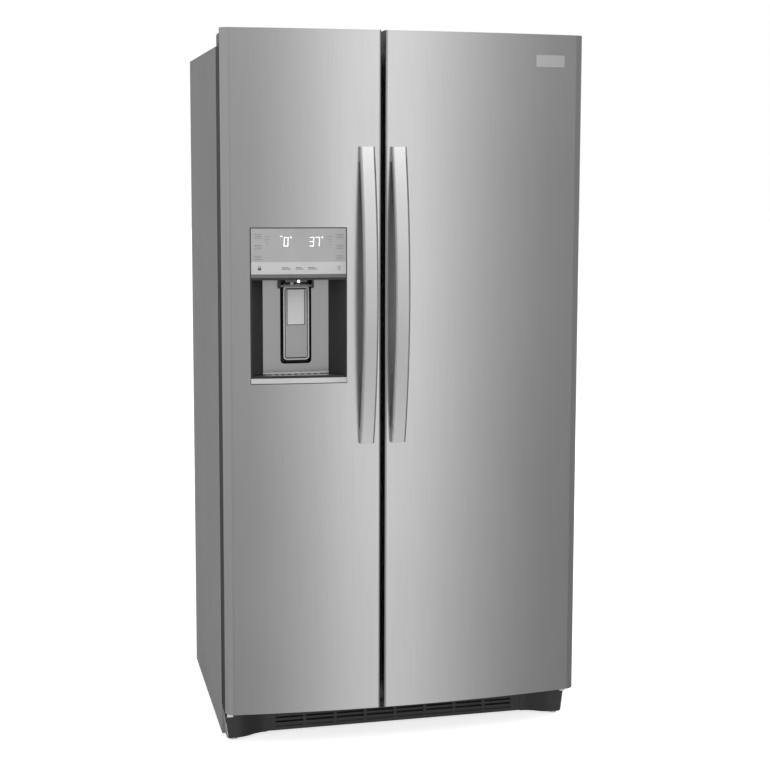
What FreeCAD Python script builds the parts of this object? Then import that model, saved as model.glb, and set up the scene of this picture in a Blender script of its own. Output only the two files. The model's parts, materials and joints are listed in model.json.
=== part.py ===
import FreeCAD, Part
import math
import os
import re
import Sketcher

# Side by side refrigerator, in millimetres. X runs to the right as seen from the front, Y runs from
# the front to the back, Z is up. The origin is on the floor, below the middle of the whole object.

DIMENSIONS = {
    # overall shape
    "door_half": 457,  # half the width over both doors
    "cabinet_half": 454,
    "cabinet_top": 1741,
    "cabinet_front": -213,
    "cabinet_back": 409,
    "floor_gap": 6,  # skirts and side sheets stop this far above the floor
    "sheet": 1,  # steel sheet
    "wall": 2.5,  # moulded plastic
    # doors
    "front_plane": -321,  # where the bowed front reaches the outer edges
    "bow": 27.9,  # how far the middle of the front stands ahead of its edges
    "door_low": 92,
    "door_high": 1779,
    "door_back": -226,
    "gap_mid": -65.2,  # middle of the slot between the doors
    "gap_half": 5,
    "outer_round": 25,
    "inner_round": 5,
    "cap_low_top": 111,
    "cap_high_low": 1715,
    "cap_slope_front": -291,
    "liner_plate": 2,
    "dyke_back": -178,
    "dyke_wall": 22,
    "dyke_low": 133,
    "dyke_high": 1692,
    "bin_back": -103,
    "bin_tall": 92,
    "gasket_wide": 12,
    "gasket_low": 99,
    "gasket_high": 1733,
    "gasket_back": -213.3,
    "dairy_low": 1430,
    "lid_pivot_up": 1542,
    "lid_left": 6.5,
    "lid_right": 375.5,
    "lid_drop": 60,
    "ear_wide": 4,
    "ear_low": 1510,
    "ear_high": 1552,
    # hinges
    "hinge_aside": 437,  # pin axis, left and right of the middle
    "hinge_line": -261,  # pin axis, front to back
    "pin_radius": 5,
    "pin_hole": 5.05,
    "notch_front": -299,
    "notch_inner": 25,
    "notch_floor": 1737,
    "arm_half": 12,
    "hinge_plate": 4,
    "bracket_inner": 396,
    "bracket_outer": 439,
    "bracket_front": -205,
    "bracket_back": -140,
    "collar_radius": 9,
    "lower_nose_inner": 420,
    "lower_nose_reach": 14,
    "lower_flange_inner": 434,
    "lower_flange_drop": 14,
    # covers of the top hinges
    "hood_inner": 386,
    "hood_outer": 443,
    "hood_front": -209,
    "hood_back": -128,
    "hood_high": 34,
    "hood_wall": 3,
    "snout_half": 14,
    "snout_low": 5,
    "snout_high": 30,
    # compartments
    "freezer_left": -412,
    "freezer_right": -94,
    "fridge_left": -39,
    "fridge_right": 412,
    "opening_low": 125,
    "opening_high": 1700,
    "liner": 2,
    "liner_back": 349,
    "step_front": 110,  # the floor steps up here, over the machine space
    "step_high": 315,
    "foam_low": 84,
    "machine_front": 150,
    "machine_high": 275,
    "sheet_back": 405,
    # drawers, shelves and bins
    "drawer_front": -88,
    "shelf_front": -84,
    "shelf_back": 276,
    "shelf_thick": 12,
    "glass_thick": 4,
    # handles
    "handle_low": 772,
    "handle_high": 1499.5,
    "handle_wide": 37,
    "handle_thick": 13,
    "handle_foot": 36,
    "handle_end": 14,
    "handle_front": -409,
    "left_handle": -107.5,
    "right_handle": -28.5,
    # badge
    "badge_left": 326,
    "badge_right": 402.5,
    "badge_low": 1699,
    "badge_high": 1728,
    # dispenser
    "dispenser_mid": -273,
    "dispenser_half": 117.7,
    "dispenser_low": 922.5,
    "dispenser_high": 1304.5,
    "bezel": 2.5,
    "bezel_proud": 1.5,
    "rail_high": 937,
    "lip_low": 1177,
    "panel_low": 1191,
    "recess_back": -291,
    "recess_half": 82.4,
    "housing_back": -252,
    "slot_half": 38.8,
    "slot_low": 967,
    "slot_back": -258,
    "paddle_half": 31.8,
    "paddle_low": 977,
    "paddle_pivot_up": 1160,
    "paddle_pivot_in": -296,
    "pivot_pin": 3,
    "pivot_hole": 3.05,
    "lug_wide": 5,
    # ice chute
    "chute_half": 36,
    "chute_front": -312,
    "chute_neck": -272,
    "chute_bend": -235,
    "chute_top": -262,
    "chute_low": 1252,
    "chute_high": 1322,
    # base
    "cover_front": -250,
    "cover_inner_front": -225,
    "cover_high": 68,
    "cover_end": 340,
    "cover_flat_end": 425,
    "cover_wall": 3,
    "grille_play": 0.2,
    "rail_outer": 452,
    "rail_inner": 408,
    "rail_low": 20,
    "rail_top": 84,
    "plate": 2,
    "roller_radius": 22,
    "roller_line": 360,
    "roller_mid": 430,
    "roller_half": 8,
    "axle_radius": 4,
    "leg_aside": 428,
    "leg_line": -231,
    "leg_disc": 12,
    "leg_stem": 5,
    # machinery
    "compressor_aside": 270,
    "compressor_line": 285,
    "compressor_radius": 84,
    "can_low": 52,
    "can_high": 220,
    "fan_aside": -70,
    "fan_line": 290,
    "fan_up": 140,
    "blade_reach": 62,
    "blade_wide": 30,
    "blade_thick": 2,
    "blade_root": 3,  # how far a blade reaches into its hub
    "hub_radius": 20,
    "shaft_radius": 3,
    "cold_fan_aside": -253,
    "cold_fan_up": 1080,
    "cover_plate_line": 283,
    "tube_radius": 4,
    "cover_plate": 3,
    "motor_radius": 24,
    # connections at the back
    "board": 1.5,
    "valve_aside": -365,
    "valve_up": 230,
    "valve_half": 23,
    "coil_radius": 14,
    "mains_aside": 340,
    "mains_up": 210,
    "screw_aside": 440,
    "screw_radius": 5,
    "screw_proud": 3.5,
    # ice maker and air duct
    "mould_left": -330,
    "mould_right": -130,
    "mould_front": 120,
    "mould_back": 250,
    "mould_low": 1588,
    "mould_high": 1640,
    "cup_wide": 22,
    "cup_pitch": 27,
    "head_left": -380,
    "head_low": 1570,
    "head_high": 1662,
    "duct_left": 126,
    "duct_right": 246,
    "duct_deep": 17,
    "duct_low": 800,
    "duct_high": 1660,
}

DOC = FreeCAD.newDocument("Refrigerator")
NODES = []
PLANES = {"xy": "XY_Plane", "xz": "XZ_Plane", "yz": "YZ_Plane"}
TURN = {
    "x": FreeCAD.Rotation(FreeCAD.Vector(0, 1, 0), 90),
    "y": FreeCAD.Rotation(FreeCAD.Vector(1, 0, 0), -90),
    "z": FreeCAD.Rotation(),
}
BOW_RADIUS = "((door_half * door_half + bow * bow) / (2 * bow))"
GAP_LEFT = "(gap_mid - gap_half)"
GAP_RIGHT = "(gap_mid + gap_half)"


# ---------------------------------------------------------------- drawing helpers


def dimension_sheet():
    """The spreadsheet that drives every size."""
    sheet = DOC.addObject("Spreadsheet::Sheet", "Dims")
    for row, (alias, value) in enumerate(DIMENSIONS.items(), 1):
        sheet.set(f"A{row}", str(value))
        sheet.setAlias(f"A{row}", alias)
    DOC.recompute()
    return sheet


DIMS = dimension_sheet()


def bound(text):
    """An expression on the sheet's cells, from text that uses the bare aliases."""
    return re.sub(r"[a-z][a-z_]*", lambda word: prefixed(word.group(0)), text)


def prefixed(word):
    return "Dims." + word if word in DIMENSIONS else word


def size(text):
    """The present value of an expression."""
    return float(DIMS.evalExpression(bound(text)))


def box(name, x, y, z):
    """A block between two expressions along each axis."""
    piece = DOC.addObject("Part::Box", name)
    for axis, side, (low, high) in zip("xyz", ("Length", "Width", "Height"), (x, y, z)):
        piece.setExpression("Placement.Base." + axis, bound(low))
        piece.setExpression(side, bound(f"({high}) - ({low})"))
    return piece


def rod(name, axis, centre, radius, low, high):
    """A cylinder along one axis; centre holds the two other coordinates in x, y, z order."""
    piece = DOC.addObject("Part::Cylinder", name)
    piece.setExpression("Radius", bound(radius))
    piece.setExpression("Height", bound(f"({high}) - ({low})"))
    piece.Placement = FreeCAD.Placement(FreeCAD.Vector(), TURN[axis])
    others = [letter for letter in "xyz" if letter != axis]
    for letter, text in zip([axis] + others, [low] + list(centre)):
        piece.setExpression("Placement.Base." + letter, bound(text))
    return piece


def bow_cylinder(name, extra):
    """The solid behind the doors' bowed front, grown outwards by extra."""
    centre = ("0", f"front_plane - bow + {BOW_RADIUS}")
    return rod(name, "z", centre, f"{BOW_RADIUS} + {extra}", "0", "door_high + 100")


def cut(name, base, *tools):
    piece = DOC.addObject("Part::Cut", name)
    piece.Base = base
    piece.Tool = tools[0] if len(tools) == 1 else join(name + "_tools", *tools)
    return piece


def join(name, *parts):
    piece = DOC.addObject("Part::MultiFuse", name)
    piece.Shapes = list(parts)
    return piece


def together(name, *parts):
    """Parts that touch and stay separate solids of one node."""
    made = DOC.addObject("Part::Compound", name)
    made.Links = list(parts)
    return made


def common(name, *parts):
    piece = DOC.addObject("Part::MultiCommon", name)
    piece.Shapes = list(parts)
    return piece


def sketch(body, name, plane, outline, offset):
    """A fully constrained outline: corners (u, v), or (u, v, radius, side) to arrive on an arc."""
    origin = [item for item in body.Origin.OriginFeatures if item.Role == PLANES[plane]][0]
    drawing = body.newObject("Sketcher::SketchObject", name)
    drawing.AttachmentSupport = [(origin, "")]
    drawing.MapMode = "FlatFace"
    drawing.setExpression("AttachmentOffset.Base.z", bound(offset))
    corners = [FreeCAD.Vector(size(corner[0]), size(corner[1]), 0) for corner in outline]
    ends = [add_edge(drawing, corners[i - 1], corners[i], outline[i]) for i in range(len(outline))]
    for i, corner in enumerate(outline):
        edge, start, end = ends[i]
        previous, _, previous_end = ends[i - 1]
        drawing.addConstraint(Sketcher.Constraint("Coincident", previous, previous_end, edge, start))
        pin(drawing, ("DistanceX", -1, 1, edge, end), corner[0])
        pin(drawing, ("DistanceY", -1, 1, edge, end), corner[1])
        if len(corner) == 4:
            pin(drawing, ("Radius", edge), corner[2])
    return drawing


def pin(drawing, constraint, text):
    number = drawing.addConstraint(Sketcher.Constraint(*constraint, size(text)))
    drawing.setExpression(f"Constraints[{number}]", bound(text))


def add_edge(drawing, start, end, corner):
    """A line, or an arc whose centre is to the left (side 1) or the right (side -1) of its way."""
    if len(corner) == 4:
        radius = size(corner[2])
        chord = end - start
        left = FreeCAD.Vector(-chord.y, chord.x, 0).normalize() * corner[3]
        centre = (start + end) * 0.5 + left * math.sqrt(radius**2 - chord.Length**2 / 4)
        edge = drawing.addGeometry(Part.Arc(start, centre - left * radius, end))
    else:
        edge = drawing.addGeometry(Part.LineSegment(start, end))
    first = 1 if drawing.getPoint(edge, 1).isEqual(start, 1e-6) else 2
    return edge, first, 3 - first


def prism(name, plane, outline, low, high):
    """A body made by drawing an outline on a plane and padding it from low to high."""
    body = DOC.addObject("PartDesign::Body", name)
    offset = f"-({high})" if plane == "xz" else low
    drawing = sketch(body, name + "_outline", plane, outline, offset)
    pad = body.newObject("PartDesign::Pad", name + "_pad")
    pad.Profile = drawing
    pad.setExpression("Length", bound(f"({high}) - ({low})"))
    DOC.recompute()
    return body


def round_edges(body, name, radius, choose):
    """Rounds the edges of a body that choose picks."""
    base = body.Tip
    picked = [f"Edge{i}" for i, edge in enumerate(base.Shape.Edges, 1) if choose(edge.BoundBox, edge)]
    if not picked:
        raise RuntimeError(name + " finds no edge")
    fillet = body.newObject("PartDesign::Fillet", name)
    fillet.Base = (base, picked)
    fillet.setExpression("Radius", bound(radius))
    DOC.recompute()


def node(label, piece):
    """Names a finished sub-part and lists it for export."""
    piece.Label = label
    NODES.append(piece)
    return piece


def mirrored(expression, side):
    """The same distance from the middle, on the left (-1) or the right (1)."""
    return f"({side} * ({expression}))"


def span(low, high, side):
    """The low and high ends along X of something that lies from low to high, out from the middle."""
    ends = [mirrored(low, side), mirrored(high, side)]
    return tuple(ends if side > 0 else reversed(ends))


# ---------------------------------------------------------------- cabinet


def cabinet_shell():
    """Painted steel wrap: two sides and a top, with a flange round the front openings."""
    sides = [
        box("shell_side", span("cabinet_half - sheet", "cabinet_half", side),
            ("cabinet_front", "cabinet_back"), ("floor_gap", "cabinet_top"))
        for side in (-1, 1)
    ]
    top = box("shell_top", ("-cabinet_half", "cabinet_half"), ("cabinet_front", "cabinet_back"),
              ("cabinet_top - sheet", "cabinet_top"))
    face = box("shell_face", ("-cabinet_half", "cabinet_half"),
               ("cabinet_front", "cabinet_front + sheet"), ("foam_low", "cabinet_top"))
    opening = box("shell_opening", ("freezer_left", "fridge_right"),
                  ("cabinet_front - 1", "cabinet_front + sheet + 1"), ("opening_low", "opening_high"))
    node("cabinet_shell", join("shell", *sides, top, cut("shell_flange", face, opening)))


def liner_blocks(name, left, right, grow):
    """The two blocks of one compartment: tall in front, and stepped up over the machine space."""
    x = (f"{left} - {grow}", f"{right} + {grow}")
    tall = box(name + "_tall", x, ("cabinet_front + sheet", f"step_front + {grow}"),
               (f"opening_low - {grow}", f"opening_high + {grow}"))
    deep = box(name + "_deep", x, ("cabinet_front + sheet", f"liner_back + {grow}"),
               (f"step_high - {grow}", f"opening_high + {grow}"))
    return join(name, tall, deep)


COMPARTMENTS = {
    "freezer": ("freezer_left", "freezer_right"),
    "fridge": ("fridge_left", "fridge_right"),
}


def liners():
    """Vacuum-formed inner boxes, open at the front."""
    for name, (left, right) in COMPARTMENTS.items():
        outer = liner_blocks(name + "_liner_outer", left, right, "liner")
        inner = liner_blocks(name + "_liner_inner", left, right, "0")
        node(name + "_liner", cut(name + "_liner_cut", outer, inner))


def cabinet_foam():
    """Foam that fills the space between the wrap and the two liners."""
    block = box("foam_block", ("-cabinet_half + sheet", "cabinet_half - sheet"),
                ("cabinet_front + sheet", "sheet_back"), ("foam_low", "cabinet_top - sheet"))
    machine = box("foam_machine", ("-cabinet_half", "cabinet_half"),
                  ("machine_front", "cabinet_back"), ("foam_low - 1", "machine_high"))
    liners_out = [
        liner_blocks(name + "_foam_hole", left, right, "liner")
        for name, (left, right) in COMPARTMENTS.items()
    ]
    node("cabinet_foam", cut("foam", block, machine, *liners_out))


def mullion_cover():
    """Steel strip over the front of the wall between the compartments."""
    node("mullion_cover", box("mullion", ("freezer_right", "fridge_left"),
                              ("cabinet_front", "cabinet_front + sheet"),
                              ("opening_low", "opening_high")))


def louvres(name, x, y, bottom, pitch, tall, count):
    """A column of horizontal slots, as blocks to take away."""
    return [
        box(f"{name}_{i}", x, y, (f"{bottom} + {i} * {pitch}", f"{bottom} + {i} * {pitch} + {tall}"))
        for i in range(count)
    ]


def back_panel():
    """Galvanised sheet over the foam at the back."""
    sheet = box("back_sheet", ("-cabinet_half + sheet", "cabinet_half - sheet"),
                ("sheet_back", "sheet_back + sheet"), ("machine_high", "cabinet_top - sheet"))
    ribs = [
        box(f"back_rib_{i}", (f"{x} - 20", f"{x} + 20"), ("sheet_back + sheet", "sheet_back + 2 * sheet"),
            ("machine_high + 80", "cabinet_top - 120"))
        for i, x in enumerate((-300, -100, 100, 300))
    ]
    node("back_panel", join("back", sheet, *ribs))


def rear_access_cover():
    """Louvred board over the machine space, with holes for the water valve and the mains inlet."""
    board = box("access_board", ("-rail_outer", "rail_outer"), ("sheet_back", "sheet_back + board"),
                ("rail_low + 6", "machine_high - 1"))
    slots = []
    for side in (-1, 1):
        slots += louvres(f"access_slot_{side}", span("70", "230", side),
                         ("sheet_back - 1", "sheet_back + 3"), "70", "18", "6", 10)
    valve_hole = box("access_valve_hole", ("valve_aside - 30", "valve_aside + 30"),
                     ("sheet_back - 1", "sheet_back + 3"), ("valve_up - 28", "valve_up + 28"))
    mains_hole = rod("access_mains_hole", "y", ("mains_aside", "mains_up"), "14",
                     "sheet_back - 1", "sheet_back + 3")
    node("rear_access_cover", cut("access", board, valve_hole, mains_hole, *slots))


# ---------------------------------------------------------------- doors


def door_ends(side, inset):
    """X of the outer and the inner edge of a door, moved inwards by inset."""
    outer = f"{side} * (door_half - {inset})"
    inner = f"{GAP_LEFT} - {inset}" if side < 0 else f"{GAP_RIGHT} + {inset}"
    return outer, inner


def door_outline(side, inset, back):
    """Plan of a door: flat sides and a front on one arc that both doors share."""
    outer, inner = door_ends(side, inset)
    radius = f"({BOW_RADIUS} - {inset})"
    left, right = (outer, inner) if side < 0 else (inner, outer)
    centre = f"(front_plane - bow + {BOW_RADIUS})"

    def front_at(x):
        return f"{centre} - sqrt({radius} * {radius} - ({x}) * ({x}))"

    return [(left, back), (left, front_at(left)), (right, front_at(right), radius, 1), (right, back)]


def vertical_front_edge(x):
    """Picks the upright edge at x that stands in the front of a door."""
    def choose(bounds, edge):
        upright = bounds.XLength < 0.01 and bounds.YLength < 0.01
        return upright and abs(bounds.XMin - x) < 0.1 and bounds.YMin < size("front_plane") + 2
    return choose


def door_solid(name, side, inset, back, low, high):
    """A door's plan with its rounded front edges, from low to high."""
    body = prism(name, "xy", door_outline(side, inset, back), low, high)
    outer, inner = door_ends(side, inset)
    round_edges(body, name + "_outer", f"outer_round - {inset}", vertical_front_edge(size(outer)))
    round_edges(body, name + "_inner", f"inner_round - {inset}", vertical_front_edge(size(inner)))
    return body


def slope_tool(name, side):
    """What the sloping back of a door's top end takes away."""
    outline = [("cap_slope_front", "door_high"), ("door_back", "cabinet_top"),
               ("door_back + 5", "cabinet_top"), ("door_back + 5", "door_high + 5"),
               ("cap_slope_front", "door_high + 5")]
    outer, inner = door_ends(side, "-5")
    low, high = (outer, inner) if side < 0 else (inner, outer)
    return prism(name, "yz", outline, low, high)


def notch_tool(name, side):
    """Clear space round the top hinge arm, open at the back and the outer side of the door."""
    return box(name, span("hinge_aside - notch_inner", "door_half + 5", side),
               ("notch_front", "door_back + 5"), ("notch_floor", "door_high + 5"))


def door_skin(name, side, windows):
    """Brushed steel wrapped round the front and both sides of a door."""
    back = "door_back - liner_plate"
    outer = door_solid(name + "_skin_outer", side, "0", back, "door_low", "door_high")
    inner = door_solid(name + "_skin_inner", side, "sheet", "door_back", "door_low - 1", "door_high + 1")
    tools = [inner, slope_tool(name + "_skin_slope", side), notch_tool(name + "_skin_notch", side)]
    node(name + "_door_skin", cut(name + "_skin", outer, *tools, *windows))


def door_caps(name, side):
    """Plastic end caps that close the steel at the bottom and the top, with the pin sockets."""
    back = "door_back - liner_plate"
    low_cap = door_solid(name + "_cap_low", side, "sheet", back, "door_low + 1", "cap_low_top")
    high_cap = door_solid(name + "_cap_high", side, "sheet", back, "cap_high_low", "door_high - 1")
    axis = (mirrored("hinge_aside", side), "hinge_line")
    low_socket = rod(name + "_socket_low", "z", axis, "pin_hole", "door_low", "door_low + 15")
    high_socket = rod(name + "_socket_high", "z", axis, "pin_hole", "notch_floor - 18", "notch_floor + 1")
    low_cut = cut(name + "_cap_low_cut", low_cap, low_socket)
    high_cut = cut(name + "_cap_high_cut", high_cap, high_socket, slope_tool(name + "_cap_slope", side),
                   notch_tool(name + "_cap_notch", side))
    node(name + "_door_caps", join(name + "_caps", low_cut, high_cut))


def door_foam(name, side, hollows):
    """Foam core of a door."""
    back = "door_back - liner_plate"
    core = door_solid(name + "_core", side, "sheet", back, "cap_low_top", "cap_high_low")
    node(name + "_door_foam", cut(name + "_foam", core, *hollows) if hollows else core)


DYKES = {
    # outer edge and free edge of the raised border, along X
    "freezer": ("-404", "-109"),
    "fridge": ("-22", "404"),
}


def frame_block(name, x, z, width, y):
    """A picture frame of one width that stands in the XZ plane."""
    outer = box(name + "_outer", x, y, z)
    inner = box(name + "_inner", (f"{x[0]} + {width}", f"{x[1]} - {width}"),
                (f"{y[0]} - 1", f"{y[1]} + 1"), (f"{z[0]} + {width}", f"{z[1]} - {width}"))
    return cut(name, outer, inner)


def door_liner(name, side, windows):
    """Inner sheet of a door and, welded to it, the raised border that the bins hang on."""
    outer, inner = door_ends(side, "0")
    x = (outer, inner) if side < 0 else (inner, outer)
    plate = box(name + "_plate", x, ("door_back - liner_plate", "door_back"),
                ("door_low + 1", "notch_floor - 1"))
    dyke = frame_block(name + "_dyke", DYKES[name], ("dyke_low", "dyke_high"), "dyke_wall",
                       ("door_back", "dyke_back"))
    sheet = cut(name + "_liner_windows", plate, *windows) if windows else plate
    node(name + "_door_liner", together(name + "_liner_pair", sheet, dyke))


GASKETS = {
    "freezer": ("-436", "-76"),
    "fridge": ("-57", "436"),
}


def door_gasket(name):
    """Magnetic rubber seal round the back of a door."""
    node(name + "_door_gasket", frame_block(name + "_seal", GASKETS[name], ("gasket_low", "gasket_high"),
                                            "gasket_wide", ("door_back", "gasket_back")))


BIN_EDGES = {
    "freezer": ("-380", "-137"),
    "fridge": ("2", "380"),
}
BIN_LEVELS = {
    "freezer": (190, 420, 650, 880, 1100),
    "fridge": (190, 430, 680, 930, 1180),
}


def open_tray(name, x, y, z, wall):
    """A tray with one wall thickness, open at the top."""
    outer = box(name + "_outer", x, y, z)
    inner = box(name + "_inner", (f"{x[0]} + {wall}", f"{x[1]} - {wall}"),
                (f"{y[0]} + {wall}", f"{y[1]} - {wall}"), (f"{z[0]} + {wall}", f"{z[1]} + 1"))
    return cut(name, outer, inner)


def door_bins(name, *extra):
    """Clear plastic bins down the inside of a door."""
    bins = [
        open_tray(f"{name}_bin_{level}", BIN_EDGES[name], ("door_back", "bin_back"),
                  (f"{level}", f"{level} + bin_tall"), "wall")
        for level in BIN_LEVELS[name]
    ]
    node(name + "_door_bins", join(name + "_bins", *bins, *extra))


def handle(label, middle):
    """Bowed bar whose two feet stand on the door's bowed front."""
    reach = (f"(front_plane - bow + {BOW_RADIUS}"
             f" - sqrt({BOW_RADIUS} * {BOW_RADIUS} - {middle} * {middle}))")
    end = f"({reach} - handle_end)"
    rise = f"({end} - handle_front)"
    half = "((handle_high - handle_low) / 2)"
    radius = f"(({half} * {half} + {rise} * {rise}) / (2 * {rise}))"
    inner_radius = f"({radius} - handle_thick)"
    inner_half = f"({half} - handle_foot)"
    inner_end = (f"(handle_front + handle_thick + {inner_radius}"
                 f" - sqrt({inner_radius} * {inner_radius} - {inner_half} * {inner_half}))")
    outline = [
        (f"{reach} + 3", "handle_low"),
        (f"{reach} + 3", "handle_low + handle_foot"),
        (inner_end, "handle_low + handle_foot"),
        (inner_end, "handle_high - handle_foot", inner_radius, -1),
        (f"{reach} + 3", "handle_high - handle_foot"),
        (f"{reach} + 3", "handle_high"),
        (end, "handle_high"),
        (end, "handle_low", radius, 1),
    ]
    bar = prism(label + "_bar", "yz", outline, f"{middle} - handle_wide / 2", f"{middle} + handle_wide / 2")
    round_edges(bar, label + "_front_round", "5",
                lambda bounds, edge: bounds.XLength < 0.01 and bounds.ZLength > 700)
    round_edges(bar, label + "_back_round", "2.5",
                lambda bounds, edge: bounds.XLength < 0.01 and 600 < bounds.ZLength < 700)
    node(label, cut(label + "_cut", bar, bow_cylinder(label + "_door_front", "0")))


def badge():
    """Blank plate on the fridge door."""
    plate = box("badge_block", ("badge_left", "badge_right"), ("front_plane - 30", "front_plane + 10"),
                ("badge_low", "badge_high"))
    grown = common("badge_grown", plate, bow_cylinder("badge_front", "1.5"))
    node("badge", cut("badge_cut", grown, bow_cylinder("badge_back", "0")))


def dairy_box():
    """Box near the top of the fridge door, with two ears that hold the pins of its lid."""
    left, right = BIN_EDGES["fridge"]
    tray = open_tray("dairy_tray", (left, right), ("door_back", "bin_back"),
                     ("dairy_low", "dairy_low + bin_tall - 2"), "wall")
    ears = [
        box(f"dairy_ear_{side}", ear, ("door_back", "door_back + 20"), ("ear_low", "ear_high"))
        for side, ear in (("left", (left, f"{left} + ear_wide")), ("right", (f"{right} - ear_wide", right)))
    ]
    hole = rod("dairy_hole", "x", ("door_back + 10", "lid_pivot_up"), "pivot_hole",
               f"{left} - 1", f"{right} + 1")
    return cut("dairy_drilled", join("dairy_shape", tray, *ears), hole)


def dairy_lid():
    """Lid that turns on pins along its upper back edge."""
    x = ("lid_left", "lid_right")
    top = box("lid_top", x, ("door_back + 10", "bin_back + 4"),
              ("lid_pivot_up - 2", "lid_pivot_up + 2"))
    front = box("lid_front", x, ("bin_back + 1", "bin_back + 4"),
                ("lid_pivot_up - lid_drop", "lid_pivot_up + 2"))
    pins = rod("lid_pins", "x", ("door_back + 10", "lid_pivot_up"), "pivot_pin",
               "lid_left - ear_wide", "lid_right + ear_wide")
    node("dairy_lid", join("lid", top, front, pins))


def lower_windows(name):
    """Opening in the freezer door's steel for the dispenser."""
    return box(name, PANEL_WIDTH, ("front_plane - 40", "housing_back - 6"),
               ("dispenser_low + bezel", "dispenser_high - bezel"))


# ---------------------------------------------------------------- dispenser


def dispenser_box(name, grow, back):
    """The block that the dispenser fills inside the freezer door."""
    return box(name, (f"dispenser_mid - dispenser_half + bezel - {grow}",
                      f"dispenser_mid + dispenser_half - bezel + {grow}"),
               ("front_plane - 40", back),
               (f"dispenser_low + bezel - {grow}", f"dispenser_high - bezel + {grow}"))


def chute_outline(grow):
    """Side view of the ice chute, from the freezer side of the door down to the recess."""
    return [
        (f"chute_front - {grow}", "lip_low"),
        (f"chute_neck + {grow}", "lip_low"),
        (f"chute_bend + {grow}", f"chute_low - {grow}"),
        ("door_back", f"chute_low - {grow}"),
        ("door_back", f"chute_high + {grow}"),
        (f"chute_top - {grow}", f"chute_high + {grow}"),
    ]


def chute_prism(name, grow):
    half = f"(chute_half + {grow})"
    return prism(name, "yz", chute_outline(grow), f"dispenser_mid - {half}", f"dispenser_mid + {half}")


PANEL_WIDTH = ("dispenser_mid - dispenser_half + bezel", "dispenser_mid + dispenser_half - bezel")


def dispenser_housing():
    """Bezel, recess with slanted side walls, and the slot that the paddle swings back into."""
    middle = "dispenser_mid"
    face = box("bezel_block", (f"{middle} - dispenser_half", f"{middle} + dispenser_half"),
               ("front_plane - 40", "front_plane + 10"), ("dispenser_low", "dispenser_high"))
    bezel = cut("bezel_plate", common("bezel_grown", face, bow_cylinder("bezel_front", "bezel_proud")),
                bow_cylinder("bezel_back", "0"))
    body = common("housing_body", dispenser_box("housing_block", "0", "housing_back"),
                  bow_cylinder("housing_front", "bezel_proud"))
    recess_outline = [
        (f"{middle} - dispenser_half + bezel + 1", "front_plane - 45"),
        (f"{middle} - dispenser_half + bezel + 1", "front_plane - 8"),
        (f"{middle} - recess_half", "recess_back"),
        (f"{middle} + recess_half", "recess_back"),
        (f"{middle} + dispenser_half - bezel - 1", "front_plane - 26"),
        (f"{middle} + dispenser_half - bezel - 1", "front_plane - 45"),
    ]
    recess = prism("recess", "xy", recess_outline, "rail_high", "lip_low")
    slot = prism("paddle_slot", "xz",
                 [(f"{middle} - slot_half", "lip_low"), (f"{middle} - slot_half", "slot_low + 10"),
                  (f"{middle} - slot_half + 10", "slot_low", "10", 1),
                  (f"{middle} + slot_half - 10", "slot_low"),
                  (f"{middle} + slot_half", "slot_low + 10", "10", 1),
                  (f"{middle} + slot_half", "lip_low")], "recess_back - 1", "slot_back")
    panel_space = box("panel_space", PANEL_WIDTH, ("front_plane - 45", "front_plane - 2"),
                      ("panel_low", "dispenser_high - bezel"))
    pivots = rod("pivot_holes", "x", ("paddle_pivot_in", "paddle_pivot_up"), "pivot_hole",
                 f"{middle} - slot_half - 6", f"{middle} + slot_half + 6")
    boss_hole = chute_prism("chute_hole", "wall")
    whole = join("housing_whole", bezel, body)
    lugs = [
        box(f"pivot_lug_{side}", span_about(middle, "slot_half", "slot_half + lug_wide", side),
            ("paddle_pivot_in - 6", "recess_back + 1"), ("paddle_pivot_up - 6", "lip_low"))
        for side in (-1, 1)
    ]
    hollow = cut("housing_hollow", whole, recess, slot, panel_space, boss_hole)
    node("dispenser_housing", cut("housing_drilled", join("housing_lugs", hollow, *lugs), pivots))


def span_about(middle, low, high, side):
    """Like span, but measured out from a given middle."""
    near = f"{middle} + {side} * ({low})"
    far = f"{middle} + {side} * ({high})"
    return (near, far) if side > 0 else (far, near)


def dispenser_panel():
    """Control panel that closes the upper part of the dispenser, bowed like the door."""
    block = box("panel_block", PANEL_WIDTH, ("front_plane - 40", "front_plane - 2"),
                ("panel_low", "dispenser_high - bezel"))
    node("dispenser_panel", common("panel", block, bow_cylinder("panel_front", "bezel_proud + 0.5")))


def ice_chute():
    """Duct through the freezer door from the ice bin down to the dispenser recess."""
    node("ice_chute", cut("chute", chute_prism("chute_outer", "wall"), chute_inner()))


def chute_inner():
    """The hollow of the ice chute."""
    outline = [
        ("chute_front", "lip_low - 5"),
        ("chute_neck", "lip_low - 5"),
        ("chute_neck", "lip_low"),
        ("chute_bend", "chute_low"),
        ("door_back + 5", "chute_low"),
        ("door_back + 5", "chute_high"),
        ("chute_top", "chute_high"),
        ("chute_front", "lip_low"),
    ]
    return prism("chute_inner", "yz", outline, "dispenser_mid - chute_half", "dispenser_mid + chute_half")


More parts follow.
